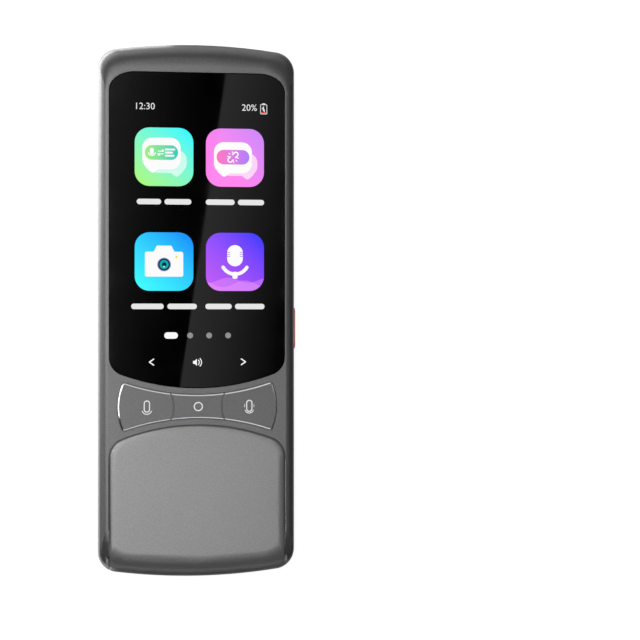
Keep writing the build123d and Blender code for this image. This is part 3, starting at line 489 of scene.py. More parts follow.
def carried_finishes(finish):
    """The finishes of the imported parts, by the record's slot."""
    recipes = (
        metallic_paint("grey_metal", finish.shell), metallic_paint("cover_metal", finish.cover),
        key_metal(finish.keys), orange_key(finish.side_key), black_glass(), board_green(), camera_dish(),
        lens_glass(), dark_mesh())
    finishes = {recipe.name: recipe.material for recipe in recipes}
    for name, (tint, low_gloss, high_gloss, others) in PLAIN_FINISHES.items():
        finishes[name] = plain(name, tint, low_gloss, high_gloss, **others)
    return finishes


LIT_GLASS = {"Base Color": (0, 0, 0, 1), "Roughness": 0.03, "IOR": GLASS_IOR, "Emission Strength": 1.0}


def lit_gradient(name, low, high, angle, reach, centre, waves=()):
    """A lit tile: its colour runs from one side to the other, at an angle, under the glass's own gloss.

    Each wave is a level, a swing, a length and a start; the colour is paler below it.
    """
    recipe = Finish(name, LIT_GLASS)
    across = recipe.axis("X") - centre[0]
    along = recipe.axis("Y") - centre[1]
    run = across * math.cos(math.radians(angle)) + along * math.sin(math.radians(angle))
    tint = recipe.mix(recipe.spread(run, -reach, reach), low, high)
    for level, swing, length, start in waves:
        over = along - (across.wave(length, start) * swing + level)
        tint = recipe.mix(recipe.spread(over, -0.05 * MM, 0.05 * MM, 0.28, 0.0), tint, (0.98, 0.35, 0.98))
    recipe.feed({"Emission Color": tint})
    return recipe.material


def lit_plain(name, tint):
    """A lit shape of one colour, which dims a little towards the edge of its pixels."""
    recipe = Finish(name, LIT_GLASS)
    pixels = recipe.axis("X").wave(0.078 * MM)
    recipe.feed({"Emission Color": recipe.scaled(tint, recipe.spread(pixels, -1.0, 1.0, 0.97, 1.0))})
    return recipe.material


# ---------------------------------------------------------------- modelling tools


def select(*pieces):
    """Selects these pieces alone, the first as the active one; with none, nothing stays selected."""
    bpy.ops.object.select_all(action="DESELECT")
    for piece in pieces:
        piece.select_set(True)
    if pieces:
        bpy.context.view_layer.objects.active = pieces[0]


def select_mesh():
    """Selects all of the mesh that is open."""
    bpy.ops.mesh.select_all(action="SELECT")


def edit(piece):
    """Opens a piece in edit mode with all of it selected."""
    select(piece)
    bpy.ops.object.mode_set(mode="EDIT")
    select_mesh()


def close_edit():
    """Merges doubled corners, points the faces outwards and leaves edit mode."""
    select_mesh()
    bpy.ops.mesh.remove_doubles(threshold=CLEAN_EDGE)
    bpy.ops.mesh.normals_make_consistent(inside=False)
    bpy.ops.object.mode_set(mode="OBJECT")


def extrude(move):
    """Extrudes what is selected of the open mesh by a move."""
    bpy.ops.mesh.extrude_region_move(TRANSFORM_OT_translate={"value": move})


def settle():
    """Puts the active piece's place, turn and scale into its mesh."""
    bpy.ops.object.transform_apply(location=True, rotation=True, scale=True)


def seat(name, scale=(1.0, 1.0, 1.0)):
    """Names the new primitive and puts its place and scale into its mesh."""
    piece = bpy.context.object
    piece.name = name
    piece.data.name = name
    piece.scale = scale
    settle()
    return piece


def opened(name, add, scale=(1.0, 1.0, 1.0), **settings):
    """Adds a primitive at its place and scale, and opens it in edit mode."""
    select()
    add(**settings)
    piece = seat(name, scale)
    edit(piece)
    return piece


def select_only(piece, mode, parts, test):
    """Leaves only those corners or faces of an opened piece selected that pass a test."""
    bpy.ops.mesh.select_mode(type=mode)
    bpy.ops.mesh.select_all(action="DESELECT")
    bpy.ops.object.mode_set(mode="OBJECT")
    for part in parts:
        part.select = test(part)
    bpy.ops.object.mode_set(mode="EDIT")


class Level:
    """A flat level round a middle, on which closed slabs are drawn in millimetres and degrees."""

    def __init__(self, middle, height, depth=LAYER):
        self.middle = middle
        self.height = height
        self.depth = depth

    def at(self, x, y, rise=0.0):
        """A place on the level, or above it."""
        return (self.middle[0] + x * MM, self.middle[1] + y * MM, self.height + rise)

    def thickened(self, face):
        """Draws an opened flat face down into a closed slab."""
        select_mesh()
        extrude((0.0, 0.0, -self.depth))
        close_edit()
        return face

    def slab(self, name, x, y, width, height, corner, turn=0.0):
        """A slab with rounded corners, turned by an angle."""
        face = opened(name, bpy.ops.mesh.primitive_plane_add, (width * MM, height * MM, 1.0),
                      size=1.0, location=self.at(x, y), rotation=(0.0, 0.0, math.radians(turn)))
        bpy.ops.mesh.bevel(offset=corner * MM, segments=ROUND_SEGMENTS, affect="VERTICES", clamp_overlap=True)
        return self.thickened(face)

    def disc(self, name, x, y, radius, sides=32):
        """A round slab."""
        return self.thickened(opened(
            name, bpy.ops.mesh.primitive_circle_add, vertices=sides, radius=radius * MM, fill_type="NGON",
            location=self.at(x, y)))

    def wedge(self, name, x, y, width, left_height, right_height, turn=0.0):
        """A slab whose right side is taller or lower than its left side, turned by an angle."""
        middle = (0.0, 0.0, self.height)
        wedge = opened(name, bpy.ops.mesh.primitive_plane_add, (width * MM, left_height * MM, 1.0),
                       size=1.0, location=middle)
        select_only(wedge, "VERT", wedge.data.vertices, lambda corner: corner.co.x > 0)
        bpy.ops.transform.resize(value=(1.0, right_height / left_height, 1.0), center_override=middle)
        self.thickened(wedge)
        wedge.rotation_euler.z = math.radians(turn)
        wedge.location = (*self.at(x, y)[:2], 0.0)
        settle()
        return wedge

    def arc(self, name, x, y, radius, stroke, start, sweep):
        """A band along an arc, with round ends: its cross-section is spun about the arc's middle.

        Without a window, spin turns the other way, so its angle is negative.
        """
        tips = [
            (x + radius * math.cos(math.radians(turn)), y + radius * math.sin(math.radians(turn)))
            for turn in (start, start + sweep)
        ]
        band = opened(
            name, bpy.ops.mesh.primitive_plane_add, (stroke * MM, self.depth, 1.0), size=1.0,
            rotation=(math.pi / 2, 0.0, math.radians(start)), location=self.at(*tips[0], -self.depth / 2))
        bpy.ops.mesh.spin(
            steps=ARC_STEPS, angle=-math.radians(sweep), center=self.at(x, y), axis=(0.0, 0.0, 1.0))
        close_edit()
        return joined(name, [band, *(self.disc(name + "_end", *tip, stroke / 2, 12) for tip in tips)])

    def figures(self, name, text, x, y, size, align):
        """Plain figures as a closed mesh."""
        select()
        bpy.ops.object.text_add(location=self.at(x, y, -self.depth / 2))
        lettering = bpy.context.object.data
        lettering.body = text
        lettering.size = size
        lettering.align_x = align
        lettering.align_y = "CENTER"
        lettering.extrude = self.depth / 2
        lettering.resolution_u = 3
        bpy.ops.object.convert(target="MESH")
        figures = seat(name)
        edit(figures)
        close_edit()
        return figures


def outlined(slab, stroke):
    """Leaves of a slab a line along its border: both flat faces are inset and bridged through."""
    edit(slab)
    select_only(slab, "FACE", slab.data.polygons, lambda face: abs(face.normal.z) > 0.9)
    bpy.ops.mesh.inset(thickness=stroke, depth=0.0, use_individual=True)
    bpy.ops.mesh.bridge_edge_loops()
    close_edit()
    return slab


def lathe(name, middle, profile, sides=64, capped=False):
    """A turned piece: a circle is extruded from one (radius, level) of its profile to the next."""
    radius, level = profile[0]
    piece = opened(
        name, bpy.ops.mesh.primitive_circle_add, vertices=sides, radius=radius, fill_type="NOTHING",
        location=(middle.x, middle.y, level))
    bpy.ops.mesh.select_mode(type="VERT")
    select_mesh()
    if capped:
        bpy.ops.mesh.edge_face_add()
        select_mesh()
    for next_radius, next_level in profile[1:]:
        extrude((0.0, 0.0, next_level - level))
        ratio = next_radius / radius
        bpy.ops.transform.resize(value=(ratio, ratio, 1.0), center_override=(middle.x, middle.y, next_level))
        radius, level = next_radius, next_level
    close_edit()
    return piece


def drawn_line(name, x, points, radius):
    """A thin closed line down the device, in millimetres: a disc drawn on through (y, z) points."""
    points = [Vector((x, y, z)) * MM for y, z in points]
    line = opened(
        name, bpy.ops.mesh.primitive_circle_add, vertices=8, radius=radius * MM, fill_type="NGON",
        location=points[0], rotation=(math.pi / 2, 0.0, 0.0))
    bpy.ops.mesh.select_mode(type="FACE")
    select_mesh()
    for here, there in zip(points, points[1:]):
        extrude(there - here)
    close_edit()
    smooth(line, 60.0)
    return line


def copied(piece, name, move):
    """A copy of a piece with a mesh of its own, moved on."""
    select(piece)
    bpy.ops.object.duplicate()
    twin = bpy.context.object
    twin.name = name
    twin.location = move
    settle()
    return twin


def joined(name, pieces):
    """Several pieces of one finish made into one."""
    select(*pieces)
    bpy.ops.object.join()
    pieces[0].name = name
    pieces[0].data.name = name
    return pieces[0]


def linked(name, data):
    """A new object in the scene."""
    thing = bpy.data.objects.new(name, data)
    bpy.context.scene.collection.objects.link(thing)
    return thing


def finish_of(node):
    """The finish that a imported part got, for the pieces that stand for it or go with it."""
    return frame["nodes"][node].data.materials[0]


def dress(piece, material, body):
    """Gives a finished piece its material and its body."""
    piece.data.materials.clear()
    piece.data.materials.append(material)
    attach(piece, body)


def smooth(piece, degrees):
    """Smooth shading, except over edges sharper than the angle."""
    select(piece)
    bpy.ops.object.shade_smooth_by_angle(angle=math.radians(degrees))


def smoothed_copy(node, name, degrees):
    """A copy of a packed shell whose rolled edges shade as one surface."""
    shell = linked(name, frame["nodes"][node].data.copy())
    edit(shell)
    bpy.ops.mesh.customdata_custom_splitnormals_clear()
    bpy.ops.mesh.remove_doubles(threshold=CLEAN_EDGE)
    select_mesh()
    bpy.ops.mesh.dissolve_limited(angle_limit=math.radians(0.5))
    select_mesh()
    bpy.ops.mesh.normals_make_consistent(inside=False)
    bpy.ops.object.mode_set(mode="OBJECT")
    smooth(shell, degrees)
    weighting = shell.modifiers.new("even_shading", "WEIGHTED_NORMAL")
    weighting.keep_sharp = True
    bpy.ops.object.modifier_apply(modifier=weighting.name)
    return shell


# ---------------------------------------------------------------- operators


class TRANSLATOR_OT_packed_parts(bpy.types.Operator):
    """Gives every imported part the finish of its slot"""

    bl_idname = "translator.packed_parts"
    bl_label = "Finish the packed parts"

    def execute(self, context):
        finishes = carried_finishes(context.scene.translator_finish)
        for node, part in frame["nodes"].items():
            part.data.materials.clear()
            part.data.materials.append(finishes[SLOT_OF_NODE[node]])
        return {"FINISHED"}


class TRANSLATOR_OT_shells(bpy.types.Operator):
    """Models the housing, the rear cover and the lower cover with smoothly rolled edges"""

    bl_idname = "translator.shells"
    bl_label = "Shells"

    def execute(self, context):
        shells = (
            ("front_housing", "housing_shell", "body"),
            ("rear_cover", "rear_shell", "body"),
            ("lower_cover", "cover_shell", "bay_cover"),
        )
        for node, name, body in shells:
            shell = smoothed_copy(node, name, 24.0)
            dress(shell, finish_of(node), body)
            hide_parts(node)
        return {"FINISHED"}


class TRANSLATOR_OT_glass_border(bpy.types.Operator):
    """Models the black bead that fills the gap round the cover glass, a little below its face"""

    bl_idname = "translator.glass_border"
    bl_label = "Bead round the glass"

    def execute(self, context):
        low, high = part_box("cover_glass")
        drop, growth = 0.12 * MM, 0.26 * MM
        bead = copied(frame["nodes"]["cover_glass"], "glass_bead", (0.0, 0.0, -drop))
        edit(bead)
        bpy.ops.transform.resize(
            value=(1.0 + growth / (high.x - low.x), 1.0 + growth / (high.y - low.y), 0.9),
            center_override=((low.x + high.x) / 2, (low.y + high.y) / 2, low.z))
        close_edit()
        dress(bead, plain("gasket_and_seam_shade_black", (0.004, 0.004, 0.004), 0.6, 0.8), "body")
        return {"FINISHED"}


class TRANSLATOR_OT_seam_lines(bpy.types.Operator):
    """Models the polished edge right of the lower cover, and black strips down in the seams beside it, which
    are painted shade
    """

    bl_idname = "translator.seam_lines"
    bl_label = "Seam lines"

    def execute(self, context):
        wall, stroke = 24.1, 0.1
        crest = ((-40.9, 13.5), (-60.34, 13.5), (-62.4, 13.4), (-64.43, 13.24), (-67.37, 12.58))
        bottom = ((-41.5, 13.22), (-60.0, 13.22))
        edge = drawn_line("seam_edge", wall, crest, 0.09)
        dress(edge, plain("cut_edge", (0.45, 0.45, 0.46), 0.2, 0.3, metal=1.0), "body")
        # black strips sunk into the gaps beside the lower cover: painted shade that darkens the seams
        seam_shade_strips = [drawn_line("painted_seam_shade", side * (wall - stroke), bottom, stroke) for side in (-1, 1)]
        dress(joined("painted_seam_shades", seam_shade_strips), bpy.data.materials["gasket_and_seam_shade_black"], "body")
        return {"FINISHED"}


def tile_middle(screen, column, row):
    """Middle of a tile: column and row are -1 or 1."""
    return (screen.middle_x + column * screen.column_step / 2, screen.middle_y + row * screen.row_step / 2)


def picture_level(middle, number=1):
    """A level of the picture round a middle: the tiles are number 1, and each next level lies on the last."""
    return Level(middle, SCREEN_LEVEL + number * LAYER)


def dress_lit(piece, material):
    """Gives a piece of the picture its lit finish."""
    dress(piece, material, "body")


class TRANSLATOR_OT_tiles(bpy.types.Operator):
    """Models the four lit tiles of the screen picture"""

    bl_idname = "translator.tiles"
    bl_label = "Screen tiles"

    def execute(self, context):
        screen = context.scene.translator_screen
        side = screen.tile_side
        waves = ((-5.0 * MM, 0.7 * MM, 11 * MM, 2.6), (-6.0 * MM, 0.9 * MM, 12 * MM, 0.2))
        looks = (
            ("tile_talk", -1, 1, (0.40, 0.95, 0.20), (0.04, 0.95, 0.98), 50.0, 0.0, ()),
            ("tile_offline", 1, 1, (1.0, 0.23, 0.85), (0.42, 0.25, 1.0), 40.0, 0.28, ()),
            ("tile_camera", -1, -1, (0.05, 0.98, 1.0), (0.01, 0.28, 1.0), 50.0, 0.0, ()),
            ("tile_record", 1, -1, (0.52, 0.09, 0.92), (0.04, 0.04, 1.0), 50.0, 0.0, waves),
        )
        for name, column, row, low, high, angle, shift, crests in looks:
            x, y = tile_middle(screen, column, row)
            tile = Level((x, y), SCREEN_LEVEL + LAYER, 2 * LAYER).slab(
                name, 0.0, 0.0, side / MM, side / MM, screen.tile_corner / MM)
            middle = (x + shift * side, y + shift * side)
            dress_lit(tile, lit_gradient(name, low, high, angle, 0.62 * side, middle, crests))
        return {"FINISHED"}


class TRANSLATOR_OT_glyphs(bpy.types.Operator):
    """Models the pictograms on the tiles: two pairs of speech bubbles, a camera and a microphone"""

    bl_idname = "translator.glyphs"
    bl_label = "Tile pictograms"

    def execute(self, context):
        screen = context.scene.translator_screen
        white = lit_plain("lit_white", (0.98, 0.98, 0.98))
        talk_bubbles(tile_middle(screen, -1, 1), white)
        offline_bubbles(tile_middle(screen, 1, 1), white)
        picture_camera(tile_middle(screen, -1, -1), white)
        picture_microphone(tile_middle(screen, 1, -1), white)
        return {"FINISHED"}


def speech_bubble(name, level, x, y, height):
    """A rounded speech bubble with a short round tail at its lower left."""
    tail_x, foot = x - 2.4, y - height / 2
    return joined(name, [
        level.slab(name, x, y, 10.4, height, 2.7),
        level.wedge(name + "_tail", tail_x, foot - 0.05, 1.1, 3.8, 1.5, -90),
        level.disc(name + "_tip", tail_x, foot - 0.2, 0.75, 20),
    ])


def back_bubble(name, middle, drop, material):
    """A pale bubble behind the front one: its tail is turned to the lower right."""
    level = picture_level(middle, 2)
    x = 0.95
    bubble = speech_bubble(name, level, x, -drop, 6.3)
    edit(bubble)
    bpy.ops.transform.mirror(constraint_axis=(True, False, False), center_override=level.at(x, 0.0))
    close_edit()
    dress_lit(bubble, material)


def bubble_pill(name, middle, x, y, finish_name, low, high):
    """The coloured pill in a speech bubble, which holds its sign."""
    level = picture_level(middle, 4)
    pill = level.slab(name, x, y, 9.0, 4.0, 1.95)
    dress_lit(pill, lit_gradient(finish_name, low, high, 0.0, 4.2 * MM, level.at(x, y)))


def talk_bubbles(middle, white):
    """Two speech bubbles; the front one holds a pill with a microphone, two arrows and lines of speech."""
    back_bubble("talk_back_bubble", middle, 1.25, lit_plain("lit_pale_green", (0.62, 0.98, 0.86)))
    dress_lit(speech_bubble("talk_bubble", picture_level(middle, 3), -0.7, 0.9, 8.6), white)
    x, y = -0.7, 1.17
    bubble_pill("talk_pill", middle, x, y, "lit_green", (0.34, 0.86, 0.22), (0.03, 0.62, 0.50))
    level = picture_level(middle, 5)
    size = 1.05
    head = level.slab("talk_microphone", x - 2.6, y + 0.35 * size, size, 1.7 * size, 0.49 * size)
    bow = level.arc("talk_microphone_bow", x - 2.6, y + 0.2 * size, 0.95 * size, 0.3 * size, 200, 140)
    arrows = [
        level.slab("talk_arrow", x + shift, y + rise, length, 0.3, 0.12, turn)
        for shift, rise, length, turn in (
            (-0.2, 0.35, 1.6, 0), (0.4, 0.62, 0.75, -45), (-0.2, -0.35, 1.6, 0), (-0.8, -0.62, 0.75, -45))
    ]
    lines = [
        level.slab("talk_line", x + shift, y + rise, length, 0.5, 0.24)
        for shift, rise, length in ((2.3, 0.85, 2.8), (2.0, 0.0, 2.2), (2.2, -0.85, 2.6))
    ]
    dress_lit(joined("talk_mark", [joined("talk_microphone", [head, bow]), *arrows, *lines]), white)


def offline_bubbles(middle, white):
    """Two speech bubbles; the front one holds a pill with a chain that is parted."""
    back_bubble("offline_back_bubble", middle, 1.8, lit_plain("lit_pale_pink", (0.98, 0.66, 0.93)))
    x, y = -0.55, 0.15
    dress_lit(speech_bubble("offline_bubble", picture_level(middle, 3), x, 0.0, 8.5), white)
    bubble_pill("offline_pill", middle, x, y, "lit_rose", (0.98, 0.17, 0.52), (0.42, 0.20, 0.98))
    level = picture_level(middle, 5)
    sides = (-1, 1)
    stroke, spark_reach = 0.36, 1.35
    links = [
        level.arc("offline_link", x + side * 0.80, y + side * 0.80, 0.58, stroke, 45 - side * 90, 180)
        for side in sides
    ]
    legs = [
        level.slab("offline_leg", x + side * 0.54 + leg * 0.41, y + side * 0.54 - leg * 0.41,
                   stroke, 1.0, 0.17, -45)
        for side in sides for leg in sides
    ]
    sparks = [
        level.slab("offline_spark", x + side * spark_reach * math.sin(math.radians(turn)),
                   y - side * spark_reach * math.cos(math.radians(turn)), 0.26, 0.62, 0.12, turn)
        for side in sides for turn in (8, 45, 82)
    ]
    dress_lit(joined("offline_links", [*links, *legs, *sparks]), white)


def picture_camera(middle, white):
    """A camera: body with a hump, a lens of four rings with a glint, and a flash dot."""
    level = picture_level(middle, 2)
    body = level.slab("camera_picture", 0.0, -0.7, 10.4, 6.8, 0.55)
    hump = level.wedge("camera_hump", 0.0, 3.45, 1.8, 5.8, 3.9, 90)
    dress_lit(joined("camera_picture", [body, hump]), white)
    lens_y = -0.8
    rings = (
        ("camera_lens_rim", 1.88, (0.32, 0.36, 0.55)),
        ("camera_lens_barrel", 1.66, (0.02, 0.02, 0.14)),
        ("camera_lens_glass", 1.2, (0.0, 0.46, 0.42)),
        ("camera_lens_pupil", 0.62, (0.0, 0.02, 0.03)),
    )
    for number, (name, radius, tint) in enumerate(rings, start=3):
        ring = picture_level(middle, number).disc(name, 0.0, lens_y, radius)
        dress_lit(ring, lit_plain("lit_" + name, tint))
    dress_lit(picture_level(middle, 7).disc("camera_lens_glint", 0.0, lens_y - 0.55, 0.2, 16), white)
    flash = picture_level(middle, 3).disc("camera_flash", 3.35, 1.25, 0.33, 16)
    dress_lit(flash, lit_plain("lit_yellow", (1.0, 0.75, 0.0)))


def picture_microphone(middle, white):
    """A microphone: slotted head, bow and foot."""
    level = picture_level(middle, 2)
    head = level.slab("record_microphone", 0.0, 1.7, 4.3, 5.8, 2.12)
    bow = level.arc("record_bow", 0.0, 0.4, 3.75, 0.95, 210, 120)
    foot = level.slab("record_foot", 0.0, -3.65, 1.4, 1.9, 0.4)
    dress_lit(joined("record_microphone", [head, bow, foot]), white)
    slots = [
        picture_level(middle, 3).slab("record_slot", side * 1.75, 1.5 + 0.55 * row, 0.9, 0.16, 0.05)
        for side in (-1, 1) for row in range(3)
    ]
    dress_lit(joined("record_slots", slots), lit_plain("lit_violet", (0.22, 0.09, 0.9)))


class TRANSLATOR_OT_readings(bpy.types.Operator):
    """Models the labels under the tiles, the status row, the page dots and the touch symbols"""

    bl_idname = "translator.readings"
    bl_label = "Labels, status row and symbols"

    def execute(self, context):
        screen = context.scene.translator_screen
        pale = lit_plain("lit_pale", (0.80, 0.80, 0.80))
        white = bpy.data.materials["lit_white"]
        labels(screen, pale)
        status_row(screen, pale)
        page_dots(screen, white)
        touch_symbols(screen, white)
        return {"FINISHED"}


def labels(screen, pale):
    """Two plain bars under each tile, in place of its two words."""
    words = (
        ("label_upper_left", -1, 1, -7.4, -0.8, 0.1, 7.4),
        ("label_upper_right", 1, 1, -8.0, -0.1, 0.8, 8.0),
        ("label_lower_left", -1, -1, -8.9, -0.1, 0.9, 8.9),
        ("label_lower_right", 1, -1, -8.1, -0.9, 0.0, 8.1),
    )
    drop, height = screen.label_drop / MM, screen.label_height / MM
    for name, column, row, *ends in words:
        level = picture_level(tile_middle(screen, column, row))
        bars = [
            level.slab("label", (start + end) / 2, -drop, end - start, height, 0.49 * height)
            for start, end in (ends[:2], ends[2:])
        ]
        dress_lit(joined(name, bars), pale)


def status_row(screen, pale):
    """The time on the left, the charge and a battery symbol on the right."""
    level = picture_level((0.0, screen.status_y))
    dress_lit(level.figures("clock", "12:30", -17.2, 0.0, screen.digit_height, "LEFT"), pale)
    dress_lit(level.figures("charge", "20%", 16.3, 0.05, screen.digit_height, "RIGHT"), pale)
    x, y = 18.1, -0.25
    case = outlined(level.slab("battery_case", x, y, 1.9, 2.7, 0.25), 0.17 * MM)
    knob = level.slab("battery_knob", x, y + 1.47, 0.9, 0.3, 0.1)
    bolts = [
        level.wedge("battery_bolt", x - side * 0.12, y + side * 0.42, 0.85, 0.12, 0.62, side * -112)
        for side in (-1, 1)
    ]
    dress_lit(joined("battery_symbol", [case, knob, *bolts]), pale)
    charge_bar = level.slab("battery_level", x, y - 1.0, 1.4, 0.42, 0.08)
    dress_lit(charge_bar, lit_plain("lit_red", (0.85, 0.04, 0.02)))


def page_dots(screen, white):
    """A bar for the page that is shown and a dot for each of the others."""
    level = picture_level((screen.middle_x - 1.5 * screen.dot_step, screen.dots_y))
    dress_lit(level.slab("page_bar", 0.0, 0.0, 3.7, 1.75, 0.86), white)
    dots = [level.disc("page_dot", count * screen.dot_step / MM, 0.0, 0.8, 24) for count in (1, 2, 3)]
    dress_lit(joined("page_dots", dots), lit_plain("lit_grey", (0.27, 0.27, 0.27)))


def touch_symbols(screen, white):
    """Back and forward arrows and a loudspeaker, lit through the lower edge of the glass."""
    for side, name in ((-1, "touch_back"), (1, "touch_forward")):
        level = picture_level((side * screen.touch_step, screen.touch_y))
        strokes = [level.slab(name, 0.0, half * 0.42, 1.62, 0.3, 0.12, -side * half * 34) for half in (-1, 1)]
        dress_lit(joined(name, strokes), white)
    level = picture_level((0.0, screen.touch_y))
    y = -0.1
    box = level.slab("touch_speaker", -0.95, y, 0.6, 0.8, 0.1)
    cone = level.wedge("touch_cone", -0.5, y, 0.6, 0.8, 1.9)
    waves = [level.arc("touch_wave", -0.5, y, radius, 0.24, -42, 84) for radius in (0.95, 1.55)]
    dress_lit(joined("touch_speaker", [box, cone, *waves]), white)


# ---------------------------------------------------------------- keys


class TRANSLATOR_OT_key_prints(bpy.types.Operator):
    """Models the prints on the three front keys"""

    bl_idname = "translator.key_prints"
    bl_label = "Key prints"

    def execute(self, context):
        keys = context.scene.translator_keys
        ink = plain("key_ink", context.scene.translator_finish.prints, 0.35, 0.5, variation=0.04)
        centre = print_level(keys, 0)
        ring = outlined(centre.disc("print_ring", 0.0, 0.0, keys.ring_radius / MM, 40), keys.stroke)
        dress(ring, ink, "centre_key")
        left = outlined_microphone("print_left", print_level(keys, -1), keys, 1.38)
        dress(left, ink, "left_key")
        right = print_level(keys, 1)
        microphone = outlined_microphone("print_right", right, keys, 1.22)
        waves = [right.arc("print_wave", 0.0, 0.15, 1.3, 0.2, start, 30) for start in (-15, 165)]
        dress(joined("print_right", [microphone, *waves]), ink, "right_key")
        return {"FINISHED"}


def print_level(keys, side):
    """The level of the prints, round the middle of the left, centre or right key: side is -1, 0 or 1."""
    return Level((keys.print_shift + side * keys.print_step, KEY_MIDDLE.y), KEY_LEVEL + LAYER, 2 * LAYER)


def outlined_microphone(name, level, keys, bow_radius):
    """A microphone in outline: capsule and open bow."""
    width = keys.capsule_width / MM
    capsule = level.slab(name, 0.0, 0.1, width, keys.capsule_height / MM, 0.48 * width)
    bow = level.arc(name + "_bow", 0.0, -0.65, bow_radius, 0.8 * keys.stroke / MM, 200, 140)
    return joined(name, [outlined(capsule, keys.stroke), bow])


class TRANSLATOR_OT_key_webs(bpy.types.Operator):
    """Models the two thin curved webs that stand between the keys, a little below their faces"""

    bl_idname = "translator.key_webs"
    bl_label = "Webs between the keys"

    def execute(self, context):
        keys = context.scene.translator_keys
        level = Level((0.0, KEY_MIDDLE.y), KEY_LEVEL - 0.1 * MM, 0.5 * MM)
        radius = keys.web_radius / MM
        middle = (keys.web_x + keys.web_radius) / MM
        webs = [
            level.arc("key_web", side * middle, 0.0, radius, 0.2, start, 44)
            for side, start in ((1, 158), (-1, -22))
        ]
        dress(joined("key_webs", webs), finish_of("front_housing"), "body")
        return {"FINISHED"}


# ---------------------------------------------------------------- rear camera


class TRANSLATOR_OT_camera(bpy.types.Operator):
    """Models the camera on the rear face: spun dish, stepped barrel and domed lens"""

    bl_idname = "translator.camera"
    bl_label = "Camera"

    def execute(self, context):
        dish = turned_piece("camera_dish", dish_profile(), "camera_disc", 30.0)
        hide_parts("camera_disc")
        turned_piece("barrel_rings", barrel_profile(), "camera_module", 30.0)
        lens = turned_piece("camera_lens_dome", lens_profile(), "camera_lens", 40.0, sides=40, capped=True)
        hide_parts("camera_lens")
        return {"FINISHED"}


def turned_piece(name, profile, node, degrees, **shape):
    """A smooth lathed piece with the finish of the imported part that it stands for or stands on."""
    piece = lathe(name, CAMERA_MIDDLE, profile, **shape)
    smooth(piece, degrees)
    dress(piece, finish_of(node), "body")
    return piece


def dish_profile():
    """A shallow cone with a raised rim, a flange under it and a hole for the barrel."""
    front, back = DISH_LOW.z, DISH_HIGH.z
    rim, throat, flange = 4.95 * MM, 1.95 * MM, (DISH_HIGH.x - DISH_LOW.x) / 2
    ledge = 1.5 * MM
    mouth = (throat, front + 0.75 * MM)
    cone = (mouth, (4.7 * MM, front + 0.05 * MM), (4.85 * MM, front), (rim, front + 0.08 * MM))
    return (*cone, (rim, ledge), (flange, ledge), (flange, back), (throat, back), mouth)


def barrel_profile():
    """Stepped rings on the face of the barrel, as radii in millimetres and numbers of steps."""
    step = 0.12 * MM
    rings = (
        (1.05, 0.0), (1.05, 0.5), (1.3, 1.0), (1.3, 1.6), (1.55, 1.8), (1.78, 1.2), (1.84, 0.0), (1.05, 0.0))
    return [(radius * MM, BARREL_FACE - steps * step) for radius, steps in rings]


def lens_profile():
    """A dome of a few rings, a straight edge and a flat back."""
    rim = (LENS_HIGH.x - LENS_LOW.x) / 2
    rise, widest = 0.3 * MM, math.radians(80)
    dome = [
        (rim * math.sin(turn) / math.sin(widest), LENS_LOW.z + rise * (1 - math.cos(turn)))
        for turn in map(math.radians, range(8, 81, 12))
    ]
    return (*dome, (rim, LENS_HIGH.z), (0.1 * MM, LENS_HIGH.z))


# ---------------------------------------------------------------- stage


class TRANSLATOR_OT_stage(bpy.types.Operator):
    """Sets up the floor, the soft lights and the camera"""

    bl_idname = "translator.stage"
    bl_label = "Stage"

    def execute(self, context):
        pale_floor()
        studio_world()
        soft_lights()
        mirrored_cards()
        front_camera()
        return {"FINISHED"}


def pale_floor():
    """A plain white floor that keeps a soft shadow.

    It is clear from below, and for rays that leave the underside, so that the rear face can be seen and lit.
    """
    select()
    bpy.ops.mesh.primitive_plane_add(size=6.0, location=(0.0, 0.0, -0.05 * MM))
    floor = seat("floor")
    material = bpy.data.materials.new("white_floor")
    recipe = Recipe(material)
    background = recipe.rays("Camera", "Glossy", "Transmission")
    white = recipe.node("ShaderNodeAddShader", {}, {
        0: recipe.node("ShaderNodeBsdfDiffuse", {}, {"Color": (0.3, 0.3, 0.3, 1.0)}),
        1: recipe.node("ShaderNodeEmission", {}, {"Strength": background * FLOOR_GLOW})})
    below = recipe.node("ShaderNodeNewGeometry", output="Backfacing")
    reach = recipe.node("ShaderNodeLightPath", output="Ray Length")
    near = (reach < 4 * MM) * (1.0 - recipe.rays("Camera"))
    clear = below | near | recipe.rays("Shadow")
    recipe.show(recipe.node("ShaderNodeMixShader", {}, {
        0: clear, 1: white, 2: recipe.node("ShaderNodeBsdfTransparent")}))
    floor.data.materials.append(material)


def studio_world():
    """A dim room over the floor; below it, and to the eye, all is white."""
    world = bpy.data.worlds.new("studio")
    bpy.context.scene.world = world
    recipe = Recipe(world, "ShaderNodeOutputWorld")
    lower_half = recipe.axis("Z", "Generated") < 0.0
    white = recipe.rays("Camera") | recipe.rays("Glossy", "Transmission") * lower_half
    recipe.show(recipe.node("ShaderNodeBackground", {}, {
        "Color": (1.0, 1.0, 1.0, 1.0), "Strength": white * (1.0 - ROOM_LIGHT) + ROOM_LIGHT}))


def soft_box(name, place, width, height, brightness, mirrored=True):
    """An area lamp that looks at the device, out of the camera's sight; brightness is its radiance."""
    lamp = bpy.data.lights.new(name, "AREA")
    lamp.shape = "RECTANGLE"
    lamp.size = width
    lamp.size_y = height
    lamp.energy = brightness * math.pi * width * height
    holder = linked(name, lamp)
    holder.location = place
    holder.rotation_euler = (-Vector(place)).to_track_quat("-Z", "Y").to_euler()
    holder.visible_camera = False
    holder.visible_glossy = mirrored


